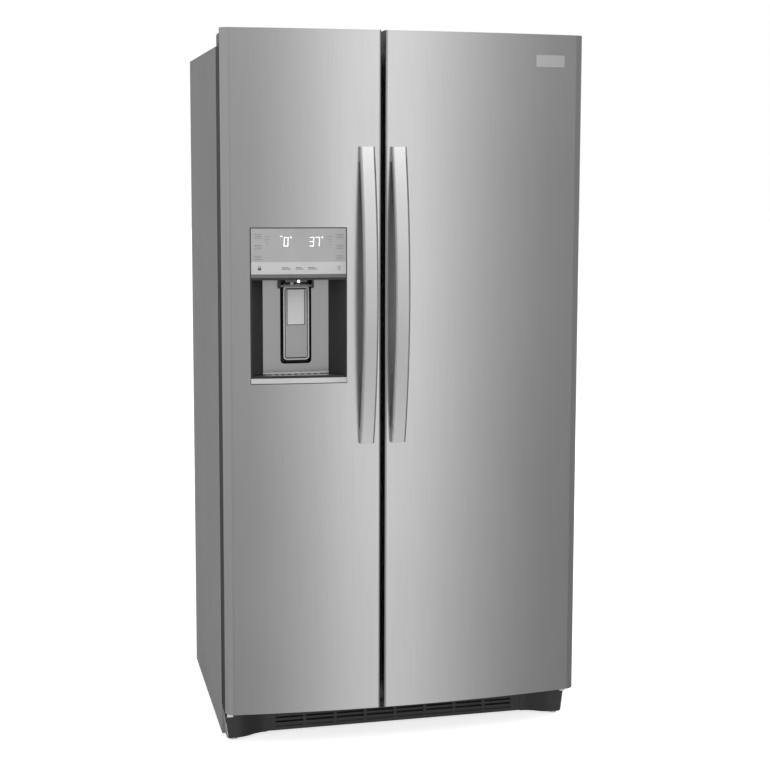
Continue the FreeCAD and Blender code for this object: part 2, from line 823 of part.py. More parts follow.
def dispenser_paddle():
    """Push paddle on a cross pin; it swings back into the slot."""
    middle = "dispenser_mid"
    plate = prism("paddle_plate", "xz",
                  [(f"{middle} - paddle_half", "paddle_pivot_up"),
                   (f"{middle} - paddle_half", "paddle_low + 9"),
                   (f"{middle} - paddle_half + 9", "paddle_low", "9", 1),
                   (f"{middle} + paddle_half - 9", "paddle_low"),
                   (f"{middle} + paddle_half", "paddle_low + 9", "9", 1),
                   (f"{middle} + paddle_half", "paddle_pivot_up")],
                  "paddle_pivot_in - 2.5", "paddle_pivot_in + 2.5")
    groove = prism("paddle_groove", "xz",
                   [(f"{middle} - paddle_half + 3.5", "paddle_pivot_up - 12"),
                    (f"{middle} - paddle_half + 3.5", "paddle_low + 9"),
                    (f"{middle} - paddle_half + 9", "paddle_low + 3.5", "5.5", 1),
                    (f"{middle} + paddle_half - 9", "paddle_low + 3.5"),
                    (f"{middle} + paddle_half - 3.5", "paddle_low + 9", "5.5", 1),
                    (f"{middle} + paddle_half - 3.5", "paddle_pivot_up - 12")],
                   "paddle_pivot_in - 3", "paddle_pivot_in - 1")
    pad = box("paddle_pad", (f"{middle} - 27", f"{middle} + 27"),
              ("paddle_pivot_in - 2.5", "paddle_pivot_in + 1"), ("paddle_low + 6", "paddle_pivot_up - 14"))
    barrel = rod("paddle_barrel", "x", ("paddle_pivot_in", "paddle_pivot_up"), "5",
                 f"{middle} - paddle_half", f"{middle} + paddle_half")
    pins = rod("paddle_pins", "x", ("paddle_pivot_in", "paddle_pivot_up"), "pivot_pin",
               f"{middle} - slot_half - 4.5", f"{middle} + slot_half + 4.5")
    node("dispenser_paddle", join("paddle", cut("paddle_cut", plate, groove), pad, barrel, pins))


def drip_tray():
    """Slotted grille on the floor of the recess; it slides out to the front."""
    middle = "dispenser_mid"
    outline = [
        (f"{middle} - dispenser_half + bezel + 4", "front_plane - 7"),
        (f"{middle} - recess_half - 1", "recess_back - 4"),
        (f"{middle} + recess_half + 1", "recess_back - 4"),
        (f"{middle} + dispenser_half - bezel - 4", "front_plane - 23"),
    ]
    plate = prism("tray_plate", "xy", outline, "rail_high + 0.5", "rail_high + 5")
    slots = [
        box(f"tray_slot_{i}", (f"{middle} - 72 + {i} * 16", f"{middle} - 72 + {i} * 16 + 10"),
            ("front_plane + 4", "recess_back - 9"), ("rail_high", "rail_high + 6"))
        for i in range(9)
    ]
    node("drip_tray", cut("tray", plate, *slots))


# ---------------------------------------------------------------- hinges


def top_hinges():
    """Steel brackets on the cabinet top whose arms reach over the doors, each with a pin."""
    brackets = []
    for side in (-1, 1):
        name = f"top_hinge_{side}"
        axis = (mirrored("hinge_aside", side), "hinge_line")
        z = ("cabinet_top", "cabinet_top + hinge_plate")
        base = box(name + "_base", span("bracket_inner", "bracket_outer", side),
                   ("bracket_front", "bracket_back"), z)
        arm = box(name + "_arm", span("hinge_aside - arm_half", "hinge_aside + arm_half", side),
                  ("hinge_line", "bracket_front + 5"), z)
        nose = rod(name + "_nose", "z", axis, "arm_half", *z)
        pin_rod = rod(name + "_pin", "z", axis, "pin_radius", "notch_floor - 16", "cabinet_top + 1")
        brackets.append(join(name, base, arm, nose, pin_rod))
    node("top_hinges", join("top_hinge_pair", *brackets))


def hinge_covers():
    """Plastic covers over the top hinges."""
    covers = []
    for side in (-1, 1):
        name = f"hinge_cover_{side}"
        axis = (mirrored("hinge_aside", side), "hinge_line")
        snout_z = ("cabinet_top + snout_low", "cabinet_top + snout_high")
        wide = box(name + "_wide", span("hood_inner", "hood_outer", side),
                   ("hood_front", "hood_back"), ("cabinet_top", "cabinet_top + hood_high"))
        snout = box(name + "_snout", span("hinge_aside - snout_half", "hinge_aside + snout_half", side),
                    ("hinge_line", "hood_front + 1"), snout_z)
        nose = rod(name + "_nose", "z", axis, "snout_half", *snout_z)
        hollow = box(name + "_hollow", span("hood_inner + hood_wall", "hood_outer - hood_wall", side),
                     ("hood_front + hood_wall", "hood_back - hood_wall"),
                     ("cabinet_top - 1", "cabinet_top + hood_high - hood_wall"))
        mouth_x = span("hinge_aside - arm_half - 1", "hinge_aside + arm_half + 1", side)
        mouth = box(name + "_mouth", mouth_x, ("hood_front - 3", "hood_front + 9"),
                    ("cabinet_top - 1", "cabinet_top + snout_low"))
        shape = join(name + "_shape", wide, snout, nose)
        covers.append(cut(name, shape, hollow, mouth))
    node("hinge_covers", join("hinge_cover_pair", *covers))


def bottom_hinges():
    """Steel plates under the doors, each with a pin, a bearing collar and a hole for a leg."""
    brackets = []
    for side in (-1, 1):
        name = f"bottom_hinge_{side}"
        axis = (mirrored("hinge_aside", side), "hinge_line")
        z = ("rail_top - 8", "rail_top - 4")
        plate = box(name + "_plate", span("rail_inner + 3", "rail_outer - 3", side),
                    ("hinge_line", "-185"), z)
        nose = box(name + "_nose", span("lower_nose_inner", "rail_outer - 3", side),
                   ("hinge_line - lower_nose_reach", "hinge_line"), z)
        flange = box(name + "_flange", span("lower_flange_inner", "rail_outer - 3", side),
                     ("hinge_line - lower_nose_reach", "hinge_line - lower_nose_reach + 3"),
                     ("rail_top - lower_flange_drop", "rail_top - 4"))
        collar = rod(name + "_collar", "z", axis, "collar_radius", "rail_top - 5", "door_low - 0.3")
        pin_rod = rod(name + "_pin", "z", axis, "pin_radius", "rail_top - 5", "door_low + 13")
        hole = rod(name + "_hole", "z", (mirrored("leg_aside", side), "leg_line"), "leg_stem + 0.05",
                   "rail_top - 10", "rail_top")
        joined = join(name + "_joined", plate, nose, flange, collar, pin_rod)
        brackets.append(cut(name, joined, hole))
    node("bottom_hinges", join("bottom_hinge_pair", *brackets))


# ---------------------------------------------------------------- base


def base_frame():
    """Side channels, machine floor, front cross member, roller axles and the arms beside the skirts."""
    pieces = []
    for side in (-1, 1):
        name = f"rail_{side}"
        y = ("cabinet_front", "sheet_back - 1")
        z = ("rail_low", "rail_top")
        pieces += [
            box(name + "_outer", span("rail_outer - plate", "rail_outer", side), y, z),
            box(name + "_inner", span("rail_inner", "rail_inner + plate", side), y, z),
            box(name + "_roof", span("rail_inner", "rail_outer", side), y, ("rail_top - 4", "rail_top")),
            rod(name + "_axle", "x", ("roller_line", "roller_radius"), "axle_radius",
                *span("rail_inner", "rail_outer", side)),
            skirt_arm(name + "_arm", side),
            box(name + "_arm_root", span("cabinet_half - 10", "cabinet_half - sheet - 0.5", side),
                ("cabinet_front", "cabinet_front + 12"), ("floor_gap + 1", "rail_top - 10")),
        ]
    floor = box("machine_floor", ("-rail_inner", "rail_inner"), ("machine_front", "sheet_back - 1"),
                ("rail_low", "rail_low + plate"))
    member = box("front_member", ("-rail_inner", "rail_inner"),
                 ("cabinet_front + sheet", "cabinet_front + 26"), ("rail_top - 40", "rail_top"))
    node("base_frame", join("base", floor, member, *pieces))


def skirt_arm(name, side):
    """Slanted plate that runs forward from a side channel, beside the skirt."""
    outline = [(mirrored("cabinet_half - 8", side), "floor_gap + 1"),
               (mirrored("cabinet_half", side), "rail_top - 10"),
               (mirrored("cabinet_half - 2", side), "rail_top - 10"),
               (mirrored("cabinet_half - 10", side), "floor_gap + 1")]
    return prism(name, "xz", outline, "cover_front + 1", "cabinet_front")


def foot_cover(side):
    """Moulded skirt over a front leg, with an S-shaped front."""
    flat = "(cover_flat_end - cover_end)"
    deep = "(cover_inner_front - cover_front)"
    radius = f"(({flat} * {flat} + {deep} * {deep}) / (4 * {deep}))"
    wall = "cover_wall"
    name = "left" if side < 0 else "right"

    def plan(inset, front_shift):
        """Front line from the outer side to the inner end; both arcs keep one middle radius."""
        outer = mirrored("cabinet_half - 3", side)
        turn = -side
        return [
            (outer, f"cabinet_front - 3 + {front_shift}"),
            (outer, f"cover_front + {inset}"),
            (mirrored("cover_flat_end", side), f"cover_front + {inset}"),
            (mirrored("(cover_flat_end + cover_end) / 2", side),
             f"(cover_front + cover_inner_front) / 2 + {inset}", radius, turn),
            (mirrored("cover_end", side), f"cover_inner_front + {inset}", radius, -turn),
            (mirrored("cover_end", side), f"cabinet_front - 3 + {front_shift}"),
        ]

    solid = prism(f"cover_{name}_solid", "xy", plan("0", "0"), "floor_gap", "cover_high")
    hollow = prism(f"cover_{name}_hollow", "xy", plan(wall, "1"), "floor_gap - 1", f"cover_high - {wall}")
    slant = prism(f"cover_{name}_slant", "xz",
                  [(mirrored("cabinet_half - 11", side), "floor_gap - 1"),
                   (mirrored("cabinet_half + 5", side), "floor_gap - 1"),
                   (mirrored("cabinet_half + 5", side), "rail_top"),
                   (mirrored("cabinet_half - 1.5", side), "rail_top")],
                  "cover_front - 5", "cabinet_front + 5")
    leg_hole = rod(f"cover_{name}_leg_hole", "z", (mirrored("leg_aside", side), "leg_line"),
                   "leg_stem + 2", "floor_gap", "cover_high + 1")
    node(f"foot_cover_{name}", cut(f"cover_{name}", solid, hollow, slant, leg_hole))


def toe_grille():
    """Louvred plate between the skirts, set back under the doors."""
    plate = box("grille_plate", ("-cover_end + grille_play", "cover_end - grille_play"),
                ("cover_inner_front + 1", "cover_inner_front + 5"), ("floor_gap + 1", "cover_high + 2"))
    slots = []
    for column in range(8):
        left = f"-cover_end + 22 + {column} * 80"
        slots += louvres(f"grille_slot_{column}", (left, f"{left} + 72"),
                         ("cover_inner_front", "cover_inner_front + 6"), "floor_gap + 10", "11", "5", 5)
    tabs = [
        box(f"grille_tab_{i}", (f"{x} - 12", f"{x} + 12"),
            ("cover_inner_front + 5", "cabinet_front + sheet"), ("rail_top - 36", "rail_top - 22"))
        for i, x in enumerate((-250, 0, 250))
    ]
    node("toe_grille", join("grille", cut("grille_cut", plate, *slots), *tabs))


def rollers():
    """Rear rollers, each on its own axle."""
    for side, name in ((-1, "left"), (1, "right")):
        x = span("roller_mid - roller_half", "roller_mid + roller_half", side)
        centre = ("roller_line", "roller_radius")
        wheel = rod(f"wheel_{name}", "x", centre, "roller_radius", *x)
        bore = rod(f"wheel_bore_{name}", "x", centre, "axle_radius + 0.05", f"{x[0]} - 1", f"{x[1]} + 1")
        node(f"rear_roller_{name}", cut(f"roller_{name}", wheel, bore))


def legs():
    """Levelling legs that screw through the bottom hinges."""
    for side, name in ((-1, "left"), (1, "right")):
        axis = (mirrored("leg_aside", side), "leg_line")
        disc = rod(f"leg_disc_{name}", "z", axis, "leg_disc", "0", "10")
        stem = rod(f"leg_stem_{name}", "z", axis, "leg_stem", "9", "door_low - 6")
        node(f"front_leg_{name}", join(f"leg_{name}", disc, stem))


# ---------------------------------------------------------------- machinery


def compressor():
    """Hermetic compressor: domed can on a mounting plate with four rubber feet."""
    axis = ("compressor_aside", "compressor_line")
    can = DOC.addObject("PartDesign::Body", "can")
    outline = [("0", "can_low"), ("compressor_radius - 14", "can_low"),
               ("compressor_radius", "can_low + 14", "14", 1), ("compressor_radius", "can_high - 40"),
               ("compressor_radius - 40", "can_high", "40", 1), ("0", "can_high")]
    drawing = sketch(can, "can_outline", "xz", outline, "0")
    turned = can.newObject("PartDesign::Revolution", "can_turned")
    turned.Profile = drawing
    turned.ReferenceAxis = (drawing, ["V_Axis"])
    turned.Angle = 360
    can.setExpression("Placement.Base.x", bound(axis[0]))
    can.setExpression("Placement.Base.y", bound(axis[1]))
    plate = box("can_plate", (f"{axis[0]} - 100", f"{axis[0]} + 100"),
                (f"{axis[1]} - 80", f"{axis[1]} + 80"), ("can_low - 6", "can_low"))
    feet = [
        rod(f"can_foot_{i}", "z", (f"{axis[0]} + {dx}", f"{axis[1]} + {dy}"), "12",
            "rail_low + plate", "can_low - 6")
        for i, (dx, dy) in enumerate(((-82, -62), (82, -62), (-82, 62), (82, 62)))
    ]
    terminal = box("can_terminal", (f"{axis[0]} - 26", f"{axis[0]} + 26"),
                   (f"{axis[1]} - compressor_radius - 14", f"{axis[1]} - compressor_radius + 10"),
                   ("can_low + 44", "can_low + 104"))
    node("compressor", join("compressor_whole", can, plate, terminal, *feet))


def serpentine(name, start, run, pitch, turns, axes):
    """A tube that runs to and fro: straight runs along one axis, stepped by pitch along the other."""
    along, across = axes
    radius = size("tube_radius")
    edges = []
    point = start
    heading = along
    for i in range(turns):
        far = point + heading * run
        edges.append(Part.LineSegment(point, far).toShape())
        if i < turns - 1:
            after = far + across * pitch
            crown = far + across * (pitch / 2) + heading * (pitch / 2)
            edges.append(Part.Arc(far, crown, after).toShape())
            point = after
            heading = heading * -1
    path = Part.Wire(edges)
    ring = Part.Wire(Part.Circle(start, along, radius).toShape())
    tube = DOC.addObject("Part::Feature", name)
    tube.Shape = path.makePipeShell([ring], True, False)
    return tube


def condenser_coil():
    """Serpentine of condenser tube beside the fan, in three flat layers held by two braces."""
    along = FreeCAD.Vector(0, 1, 0)
    across = FreeCAD.Vector(0, 0, 1)
    layers = [
        serpentine(f"condenser_layer_{i}", FreeCAD.Vector(x, 195, 60), 160, 22, 7, (along, across))
        for i, x in enumerate((-360, -260, -160))
    ]
    braces = [
        box(f"condenser_brace_{i}", ("-395", "-125"), (f"{y}", f"{y} + 3"),
            ("rail_low + plate + 24", "206"))
        for i, y in enumerate((230, 330))
    ]
    node("condenser_coil", join("condenser", *layers, *braces))


def evaporator_coil():
    """Finned serpentine behind the cold air cover of the freezer."""
    along = FreeCAD.Vector(1, 0, 0)
    across = FreeCAD.Vector(0, 0, 1)
    tubes = [
        serpentine(f"evaporator_row_{i}", FreeCAD.Vector(-385, y, 420), 264, 40, 12, (along, across))
        for i, y in enumerate((305, 332))
    ]
    fins = [
        box(f"evaporator_fin_{i}", (f"-380 + {i} * 18", f"-380 + {i} * 18 + 1"), ("294", "343"),
            ("408", "872"))
        for i in range(15)
    ]
    node("evaporator_coil", join("evaporator", *tubes, *fins))


def evaporator_cover():
    """Board across the back of the freezer, with the cold air fan's round mouth and return slots."""
    board = box("cover_board", ("freezer_left + 1", "freezer_right - 1"),
                ("cover_plate_line", "cover_plate_line + cover_plate"), ("step_high + 5", "1420"))
    shelf = box("cover_shelf", ("freezer_left + 1", "freezer_right - 1"),
                ("cover_plate_line", "liner_back"), ("1420 - cover_plate", "1420"))
    mouth = rod("cover_mouth", "y", ("cold_fan_aside", "cold_fan_up"), "blade_reach + 5",
                "cover_plate_line - 1", "cover_plate_line + 4")
    slots = louvres("cover_slot", ("freezer_left + 60", "freezer_right - 60"),
                    ("cover_plate_line - 1", "cover_plate_line + 4"), "step_high + 25", "12", "6", 5)
    grid = louvres("cover_vent", ("freezer_left + 80", "freezer_right - 80"),
                   ("cover_plate_line - 1", "cover_plate_line + 4"), "1220", "14", "6", 5)
    whole = join("cold_board", board, shelf)
    node("evaporator_cover", cut("cold_cover", whole, mouth, *slots, *grid))


BLADES = 5
BLADE_PITCH = 62  # between a blade and the shaft's own plane


def fan_motors():
    """Motors of the condenser fan and the cold air fan, with their brackets and shafts."""
    hot_axis = ("fan_line", "fan_up")
    hot = [
        rod("hot_motor", "x", hot_axis, "motor_radius", "fan_aside + 22", "fan_aside + 62"),
        rod("hot_shaft", "x", hot_axis, "shaft_radius", "fan_aside - 8", "fan_aside + 24"),
        box("hot_post", ("fan_aside + 40", "fan_aside + 56"), ("fan_line - 12", "fan_line + 12"),
            ("rail_low + plate", "fan_up")),
    ]
    cold_axis = ("cold_fan_aside", "cold_fan_up")
    cold = [
        rod("cold_motor", "y", cold_axis, "motor_radius", "cover_plate_line + 24", "liner_back - 6"),
        rod("cold_shaft", "y", cold_axis, "shaft_radius", "cover_plate_line - 6", "cover_plate_line + 26"),
        box("cold_bridge", ("cold_fan_aside - 30", "cold_fan_aside + 30"),
            ("liner_back - 8", "liner_back"), ("cold_fan_up - 30", "cold_fan_up + 30")),
    ]
    node("fan_motors", join("motors", join("hot_unit", *hot), join("cold_unit", *cold)))


def fan(label, axis, middle, low, high):
    """A hub with pitched blades on a motor shaft that points along an axis."""
    hub = rod(label + "_hub", axis, middle, "hub_radius", low, high)
    bore = rod(label + "_bore", axis, middle, "shaft_radius + 0.05", f"{low} - 1", f"{high} + 1")
    coordinates = [size(text) for text in middle]
    coordinates.insert("xyz".index(axis), (size(low) + size(high)) / 2)
    centre = FreeCAD.Vector(*coordinates)
    direction = {"x": FreeCAD.Vector(1, 0, 0), "y": FreeCAD.Vector(0, 1, 0)}[axis]
    outwards = FreeCAD.Rotation(FreeCAD.Vector(0, 0, 1), {"x": 90, "y": 0}[axis])
    pitch = FreeCAD.Rotation(FreeCAD.Vector(1, 0, 0), BLADE_PITCH)
    start = ("hub_radius - blade_root", "-blade_wide / 2", "-blade_thick / 2")
    root = FreeCAD.Vector(*[size(text) for text in start])
    blades = []
    for i in range(BLADES):
        blade = DOC.addObject("Part::Box", f"{label}_blade_{i}")
        blade.setExpression("Length", bound("blade_reach - hub_radius + blade_root"))
        blade.setExpression("Width", bound("blade_wide"))
        blade.setExpression("Height", bound("blade_thick"))
        turned = FreeCAD.Rotation(direction, 360 / BLADES * i).multiply(outwards).multiply(pitch)
        blade.Placement = FreeCAD.Placement(centre + turned.multVec(root), turned)
        blades.append(blade)
    node(label, cut(label + "_cut", join(label + "_whole", hub, *blades), bore))


def fans():
    fan("condenser_fan", "x", ("fan_line", "fan_up"), "fan_aside - 10", "fan_aside + 10")
    fan("evaporator_fan", "y", ("cold_fan_aside", "cold_fan_up"), "cover_plate_line - 8",
        "cover_plate_line + 12")


def drain_pan():
    """Tray that catches defrost water, under the condenser."""
    z = ("rail_low + plate", "rail_low + plate + 24")
    node("drain_pan", open_tray("pan", ("-395", "-125"), ("165", "400"), z, "1.5"))


def water_valve():
    """Solenoid valve with a threaded inlet that faces the back."""
    middle = ("valve_aside", "valve_up")
    x = ("valve_aside - valve_half", "valve_aside + valve_half")
    body = box("valve_body", x, ("sheet_back - 45", "sheet_back - 8"), ("valve_up - 19", "valve_up + 17"))
    coil = rod("valve_coil", "z", ("valve_aside", "sheet_back - 28"), "coil_radius",
               "valve_up + 16", "valve_up + 42")
    inlet = rod("valve_inlet", "y", middle, "9.5", "sheet_back - 9", "sheet_back + 3.5")
    bore = rod("valve_bore", "y", middle, "5", "sheet_back - 20", "sheet_back + 5")
    strap = box("valve_strap", x, ("sheet_back - 8", "sheet_back"), ("valve_up - 45", "valve_up - 31"))
    lug = box("valve_lug", x, ("sheet_back - 14", "sheet_back - 8"), ("valve_up - 45", "valve_up - 19"))
    node("water_valve", cut("valve", join("valve_whole", body, coil, inlet, strap, lug), bore))


def mains_gland():
    """Grommet where the mains lead enters."""
    axis = ("mains_aside", "mains_up")
    flange = rod("gland_flange", "y", axis, "18", "sheet_back + board", "sheet_back + 3.5")
    neck = rod("gland_neck", "y", axis, "13.9", "sheet_back - 5", "sheet_back + 2")
    hole = rod("gland_hole", "y", axis, "4.5", "sheet_back - 6", "sheet_back + 5")
    node("mains_gland", cut("gland", join("gland_whole", flange, neck), hole))


def screws():
    """Heads of the screws round the back panel and the rear access cover."""
    heads = []
    for up in (60, 250, 300, 660, 1020, 1380, 1700):
        seat = "sheet_back + sheet" if up > size("machine_high") else "sheet_back + board"
        for side in (-1, 1):
            middle = (mirrored("screw_aside", side), f"{up}")
            heads.append(rod(f"screw_{up}_{side}", "y", middle, "screw_radius", seat,
                             "sheet_back + screw_proud"))
    node("screws", join("screw_group", *heads))


# ---------------------------------------------------------------- inside the compartments


def freezer_shelves():
    """Slotted shelves in the freezer."""
    shelves = []
    for i, level in enumerate((640, 960, 1310)):
        plate = box(f"freezer_shelf_{i}", ("freezer_left + 0.5", "freezer_right - 0.5"),
                    ("shelf_front", "shelf_back"), (f"{level}", f"{level} + 8"))
        slots = [
            box(f"freezer_slot_{i}_{k}",
                (f"freezer_left + 16 + {k} * 20", f"freezer_left + 16 + {k} * 20 + 12"),
                ("shelf_front + 20", "shelf_back - 20"), (f"{level} - 1", f"{level} + 9"))
            for k in range(15)
        ]
        shelves.append(cut(f"freezer_shelf_cut_{i}", plate, *slots))
    node("freezer_shelves", join("freezer_shelf_group", *shelves))


SHELF_LEVELS = (568, 742, 950, 1160, 1370)


def fridge_shelves():
    """Glass shelves in moulded frames."""
    x = ("fridge_left + 0.5", "fridge_right - 0.5")
    frames = []
    glasses = []
    for level in SHELF_LEVELS:
        rim = box(f"rim_{level}", x, ("shelf_front", "shelf_back + 50"),
                  (f"{level}", f"{level} + shelf_thick"))
        inner_x = (f"{x[0]} + 14", f"{x[1]} - 14")
        hole = box(f"rim_hole_{level}", inner_x, ("shelf_front + 14", "shelf_back + 36"),
                   (f"{level} - 1", f"{level} + shelf_thick + 1"))
        seat_x = (f"{x[0]} + 8", f"{x[1]} - 8")
        seat_y = ("shelf_front + 8", "shelf_back + 42")
        seat_z = (f"{level} + shelf_thick - glass_thick", f"{level} + shelf_thick")
        seat = box(f"rim_seat_{level}", seat_x, seat_y, (seat_z[0], f"{level} + shelf_thick + 1"))
        frames.append(cut(f"rim_cut_{level}", rim, hole, seat))
        glasses.append(box(f"glass_{level}", seat_x, seat_y, seat_z))
    node("shelf_frames", join("frame_group", *frames))
    node("shelf_glass", join("glass_group", *glasses))


def drawer(label, x, z, back, wall):
    """An open drawer with a grip lip along its front."""
    tray = open_tray(label + "_tray", x, ("drawer_front + 4", back), z, wall)
    front = box(label + "_front", (f"{x[0]} - 3", f"{x[1]} + 3"), ("drawer_front", "drawer_front + 4"),
                (f"{z[0]} - 2", f"{z[1]}"))
    lip = box(label + "_lip", (f"{x[0]} + 30", f"{x[1]} - 30"), ("drawer_front - 7", "drawer_front"),
              (f"{z[1]} - 16", f"{z[1]} - 12"))
    node(label, join(label + "_whole", tray, front, lip))


def drawers():
    freezer = ("-388", "-109")
    fridge = ("-20", "388")
    drawer("freezer_basket", freezer, ("345", "560"), "shelf_back - 4", "2.5")
    drawer("ice_bin", freezer, ("1322", "1530"), "shelf_back - 30", "3")
    drawer("crisper_drawer", fridge, ("345", "560"), "shelf_back + 30", "3")
    drawer("deli_drawer", fridge, ("600", "734"), "shelf_back + 30", "3")


def ice_maker():
    """Ice maker above the bin: mould, motor head and shut-off arm."""
    mould = box("mould", ("mould_left", "mould_right"), ("mould_front", "mould_back"),
                ("mould_low", "mould_high"))
    cups = [
        box(f"mould_cup_{i}",
            (f"mould_left + 8 + {i} * cup_pitch", f"mould_left + 8 + {i} * cup_pitch + cup_wide"),
            ("mould_front + 10", "mould_back - 10"), ("mould_low + 16", "mould_high + 1"))
        for i in range(7)
    ]
    head = box("maker_head", ("head_left", "mould_left"), ("mould_front - 10", "mould_back + 12"),
               ("head_low", "head_high"))
    hanger = box("maker_hanger", ("head_left + 10", "mould_right - 20"), ("mould_back", "mould_back + 12"),
                 ("mould_low + 12", "opening_high"))
    arm = box("maker_arm", ("mould_left", "mould_right - 10"), ("mould_front - 8", "mould_front - 4"),
              ("head_low + 4", "head_low + 8"))
    arm_drop = box("maker_arm_drop", ("mould_right - 14", "mould_right - 10"),
                   ("mould_front - 8", "mould_front"), ("head_low + 4", "mould_low + 12"))
    node("ice_maker", join("maker", cut("mould_cut", mould, *cups), head, hanger, arm, arm_drop))


def air_duct():
    """Air column at the back of the fridge, with outlet slots."""
    column = box("duct_column", ("duct_left", "duct_right"), ("liner_back - duct_deep", "liner_back"),
                 ("duct_low", "duct_high"))
    slots = louvres("duct_slot", ("duct_left + 15", "duct_right - 15"),
                    ("liner_back - duct_deep - 1", "liner_back - 6"), "duct_low + 50", "120", "14", 7)
    node("air_duct", cut("duct", column, *slots))


def lamps():
    """Lamp modules on the ceilings of both compartments."""
    modules = [
        box(f"lamp_{name}", (f"({left} + {right}) / 2 - 60", f"({left} + {right}) / 2 + 60"),
            ("-70", "-10"), ("opening_high - 10", "opening_high"))
        for name, (left, right) in COMPARTMENTS.items()
    ]
    node("interior_lamps", join("lamp_group", *modules))


# ---------------------------------------------------------------- the whole


def freezer_door():
    housing_space = dispenser_box("foam_dispenser_space", "0", "housing_back")
    foam_chute = chute_prism("foam_chute_space", "wall")
    door_skin("freezer", -1, [lower_windows("skin_window")])
    door_caps("freezer", -1)
    door_foam("freezer", -1, [housing_space, foam_chute])
    door_liner("freezer", -1, [chute_prism("liner_chute_hole", "wall")])
    door_gasket("freezer")
    door_bins("freezer")
    handle("freezer_handle", "left_handle")
    dispenser_housing()
    dispenser_panel()
    dispenser_paddle()
    drip_tray()
    ice_chute()


def fridge_door():
    door_skin("fridge", 1, [])
    door_caps("fridge", 1)
    door_foam("fridge", 1, [])
    door_liner("fridge", 1, [])
    door_gasket("fridge")
    door_bins("fridge", dairy_box())
    handle("fridge_handle", "right_handle")
    dairy_lid()
    badge()


def build():
    cabinet_shell()
    cabinet_foam()
    back_panel()
    liners()
    mullion_cover()
    rear_access_cover()
    base_frame()
    toe_grille()
    for side in (-1, 1):
        foot_cover(side)
    rollers()
    legs()
    top_hinges()
    hinge_covers()
    bottom_hinges()
    compressor()
    condenser_coil()
    drain_pan()
    fan_motors()
    fans()
    water_valve()
    mains_gland()
    screws()
    evaporator_coil()
    evaporator_cover()
    freezer_shelves()
    fridge_shelves()
    ice_maker()
    air_duct()
    lamps()
    drawers()
    freezer_door()
    fridge_door()
    DOC.recompute()


def check():
    """Stops when an object is broken or a finished shape is empty or invalid."""
    for item in DOC.Objects:
        if {"Invalid", "Error"} & set(item.State):
            raise RuntimeError(f"{item.Name} is {item.State}")
    for piece in NODES:
        if piece.Shape.isNull() or not piece.Shape.isValid() or not piece.Shape.Solids:
            raise RuntimeError(f"{piece.Label} has no valid shape")


def export():
    os.makedirs("parts", exist_ok=True)
    for piece in NODES:
        piece.Shape.exportStep(os.path.join("parts", piece.Label + ".step"))
        print(piece.Label, len(piece.Shape.Solids), "solids", round(piece.Shape.Volume / 1000), "cm3")
    print(len(NODES), "nodes")


build()
check()
export()
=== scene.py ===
import json
import math
import bpy
from mathutils import Matrix, Vector


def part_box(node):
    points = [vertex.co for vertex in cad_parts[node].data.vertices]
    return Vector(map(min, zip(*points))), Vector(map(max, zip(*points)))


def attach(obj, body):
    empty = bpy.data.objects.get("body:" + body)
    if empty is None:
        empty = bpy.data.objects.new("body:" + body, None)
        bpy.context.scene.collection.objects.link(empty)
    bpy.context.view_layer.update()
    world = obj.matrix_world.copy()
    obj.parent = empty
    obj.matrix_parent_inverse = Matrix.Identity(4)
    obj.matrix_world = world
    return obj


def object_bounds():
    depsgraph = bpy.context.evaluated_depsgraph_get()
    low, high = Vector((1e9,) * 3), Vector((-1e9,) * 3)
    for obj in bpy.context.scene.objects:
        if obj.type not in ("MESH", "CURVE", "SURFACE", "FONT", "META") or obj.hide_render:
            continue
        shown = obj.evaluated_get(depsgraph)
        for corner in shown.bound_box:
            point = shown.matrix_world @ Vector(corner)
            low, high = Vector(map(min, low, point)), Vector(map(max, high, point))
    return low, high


# Looks of a side by side refrigerator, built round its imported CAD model. Metres; X right, Y back, Z up.

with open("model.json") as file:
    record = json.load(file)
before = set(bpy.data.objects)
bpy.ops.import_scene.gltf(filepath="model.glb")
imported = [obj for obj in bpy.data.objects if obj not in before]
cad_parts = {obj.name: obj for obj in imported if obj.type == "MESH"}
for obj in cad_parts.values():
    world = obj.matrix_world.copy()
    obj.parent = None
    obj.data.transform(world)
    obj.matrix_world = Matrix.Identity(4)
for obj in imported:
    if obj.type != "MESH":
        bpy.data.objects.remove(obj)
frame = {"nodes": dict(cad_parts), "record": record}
CAD_BOX = [list(corner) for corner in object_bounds()]
NODES = frame["nodes"]
MM = 0.001

# ---------------------------------------------------------------- the front's bowed face

BOW = 27.9 * MM
HALF_WIDTH = CAD_BOX[1][0]
BOW_RADIUS = (HALF_WIDTH ** 2 + BOW ** 2) / (2 * BOW)


def bow_drop(x):
    """How far the bowed front has fallen back from its middle at x."""
    return BOW_RADIUS - math.sqrt(BOW_RADIUS ** 2 - x * x)


SKIN_LOW, SKIN_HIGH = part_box("freezer_door_skin")
APEX = SKIN_LOW.y - bow_drop(SKIN_HIGH.x)


def front_y(x, proud=0.0):
    """The doors' front face at x, or a face standing proud of it."""
    return APEX - proud + bow_drop(x)


# ---------------------------------------------------------------- camera

# Fitted to the photograph. The shift is smaller than an exact fit needs, because that would cut off
# the top of the object in other views; the camera is tilted down more instead.
SENSOR_WIDTH = 36
LENS = 72.61
SHIFT_X = -0.0299
SHIFT_Y = -0.0649
CLIP_START = 0.1
CLIP_END = 60
CAMERA_PLACE = (-0.9089, -4.0544, 1.4648)
YAW = 0.2400
PITCH = -0.1115
ROLL = 0.0041


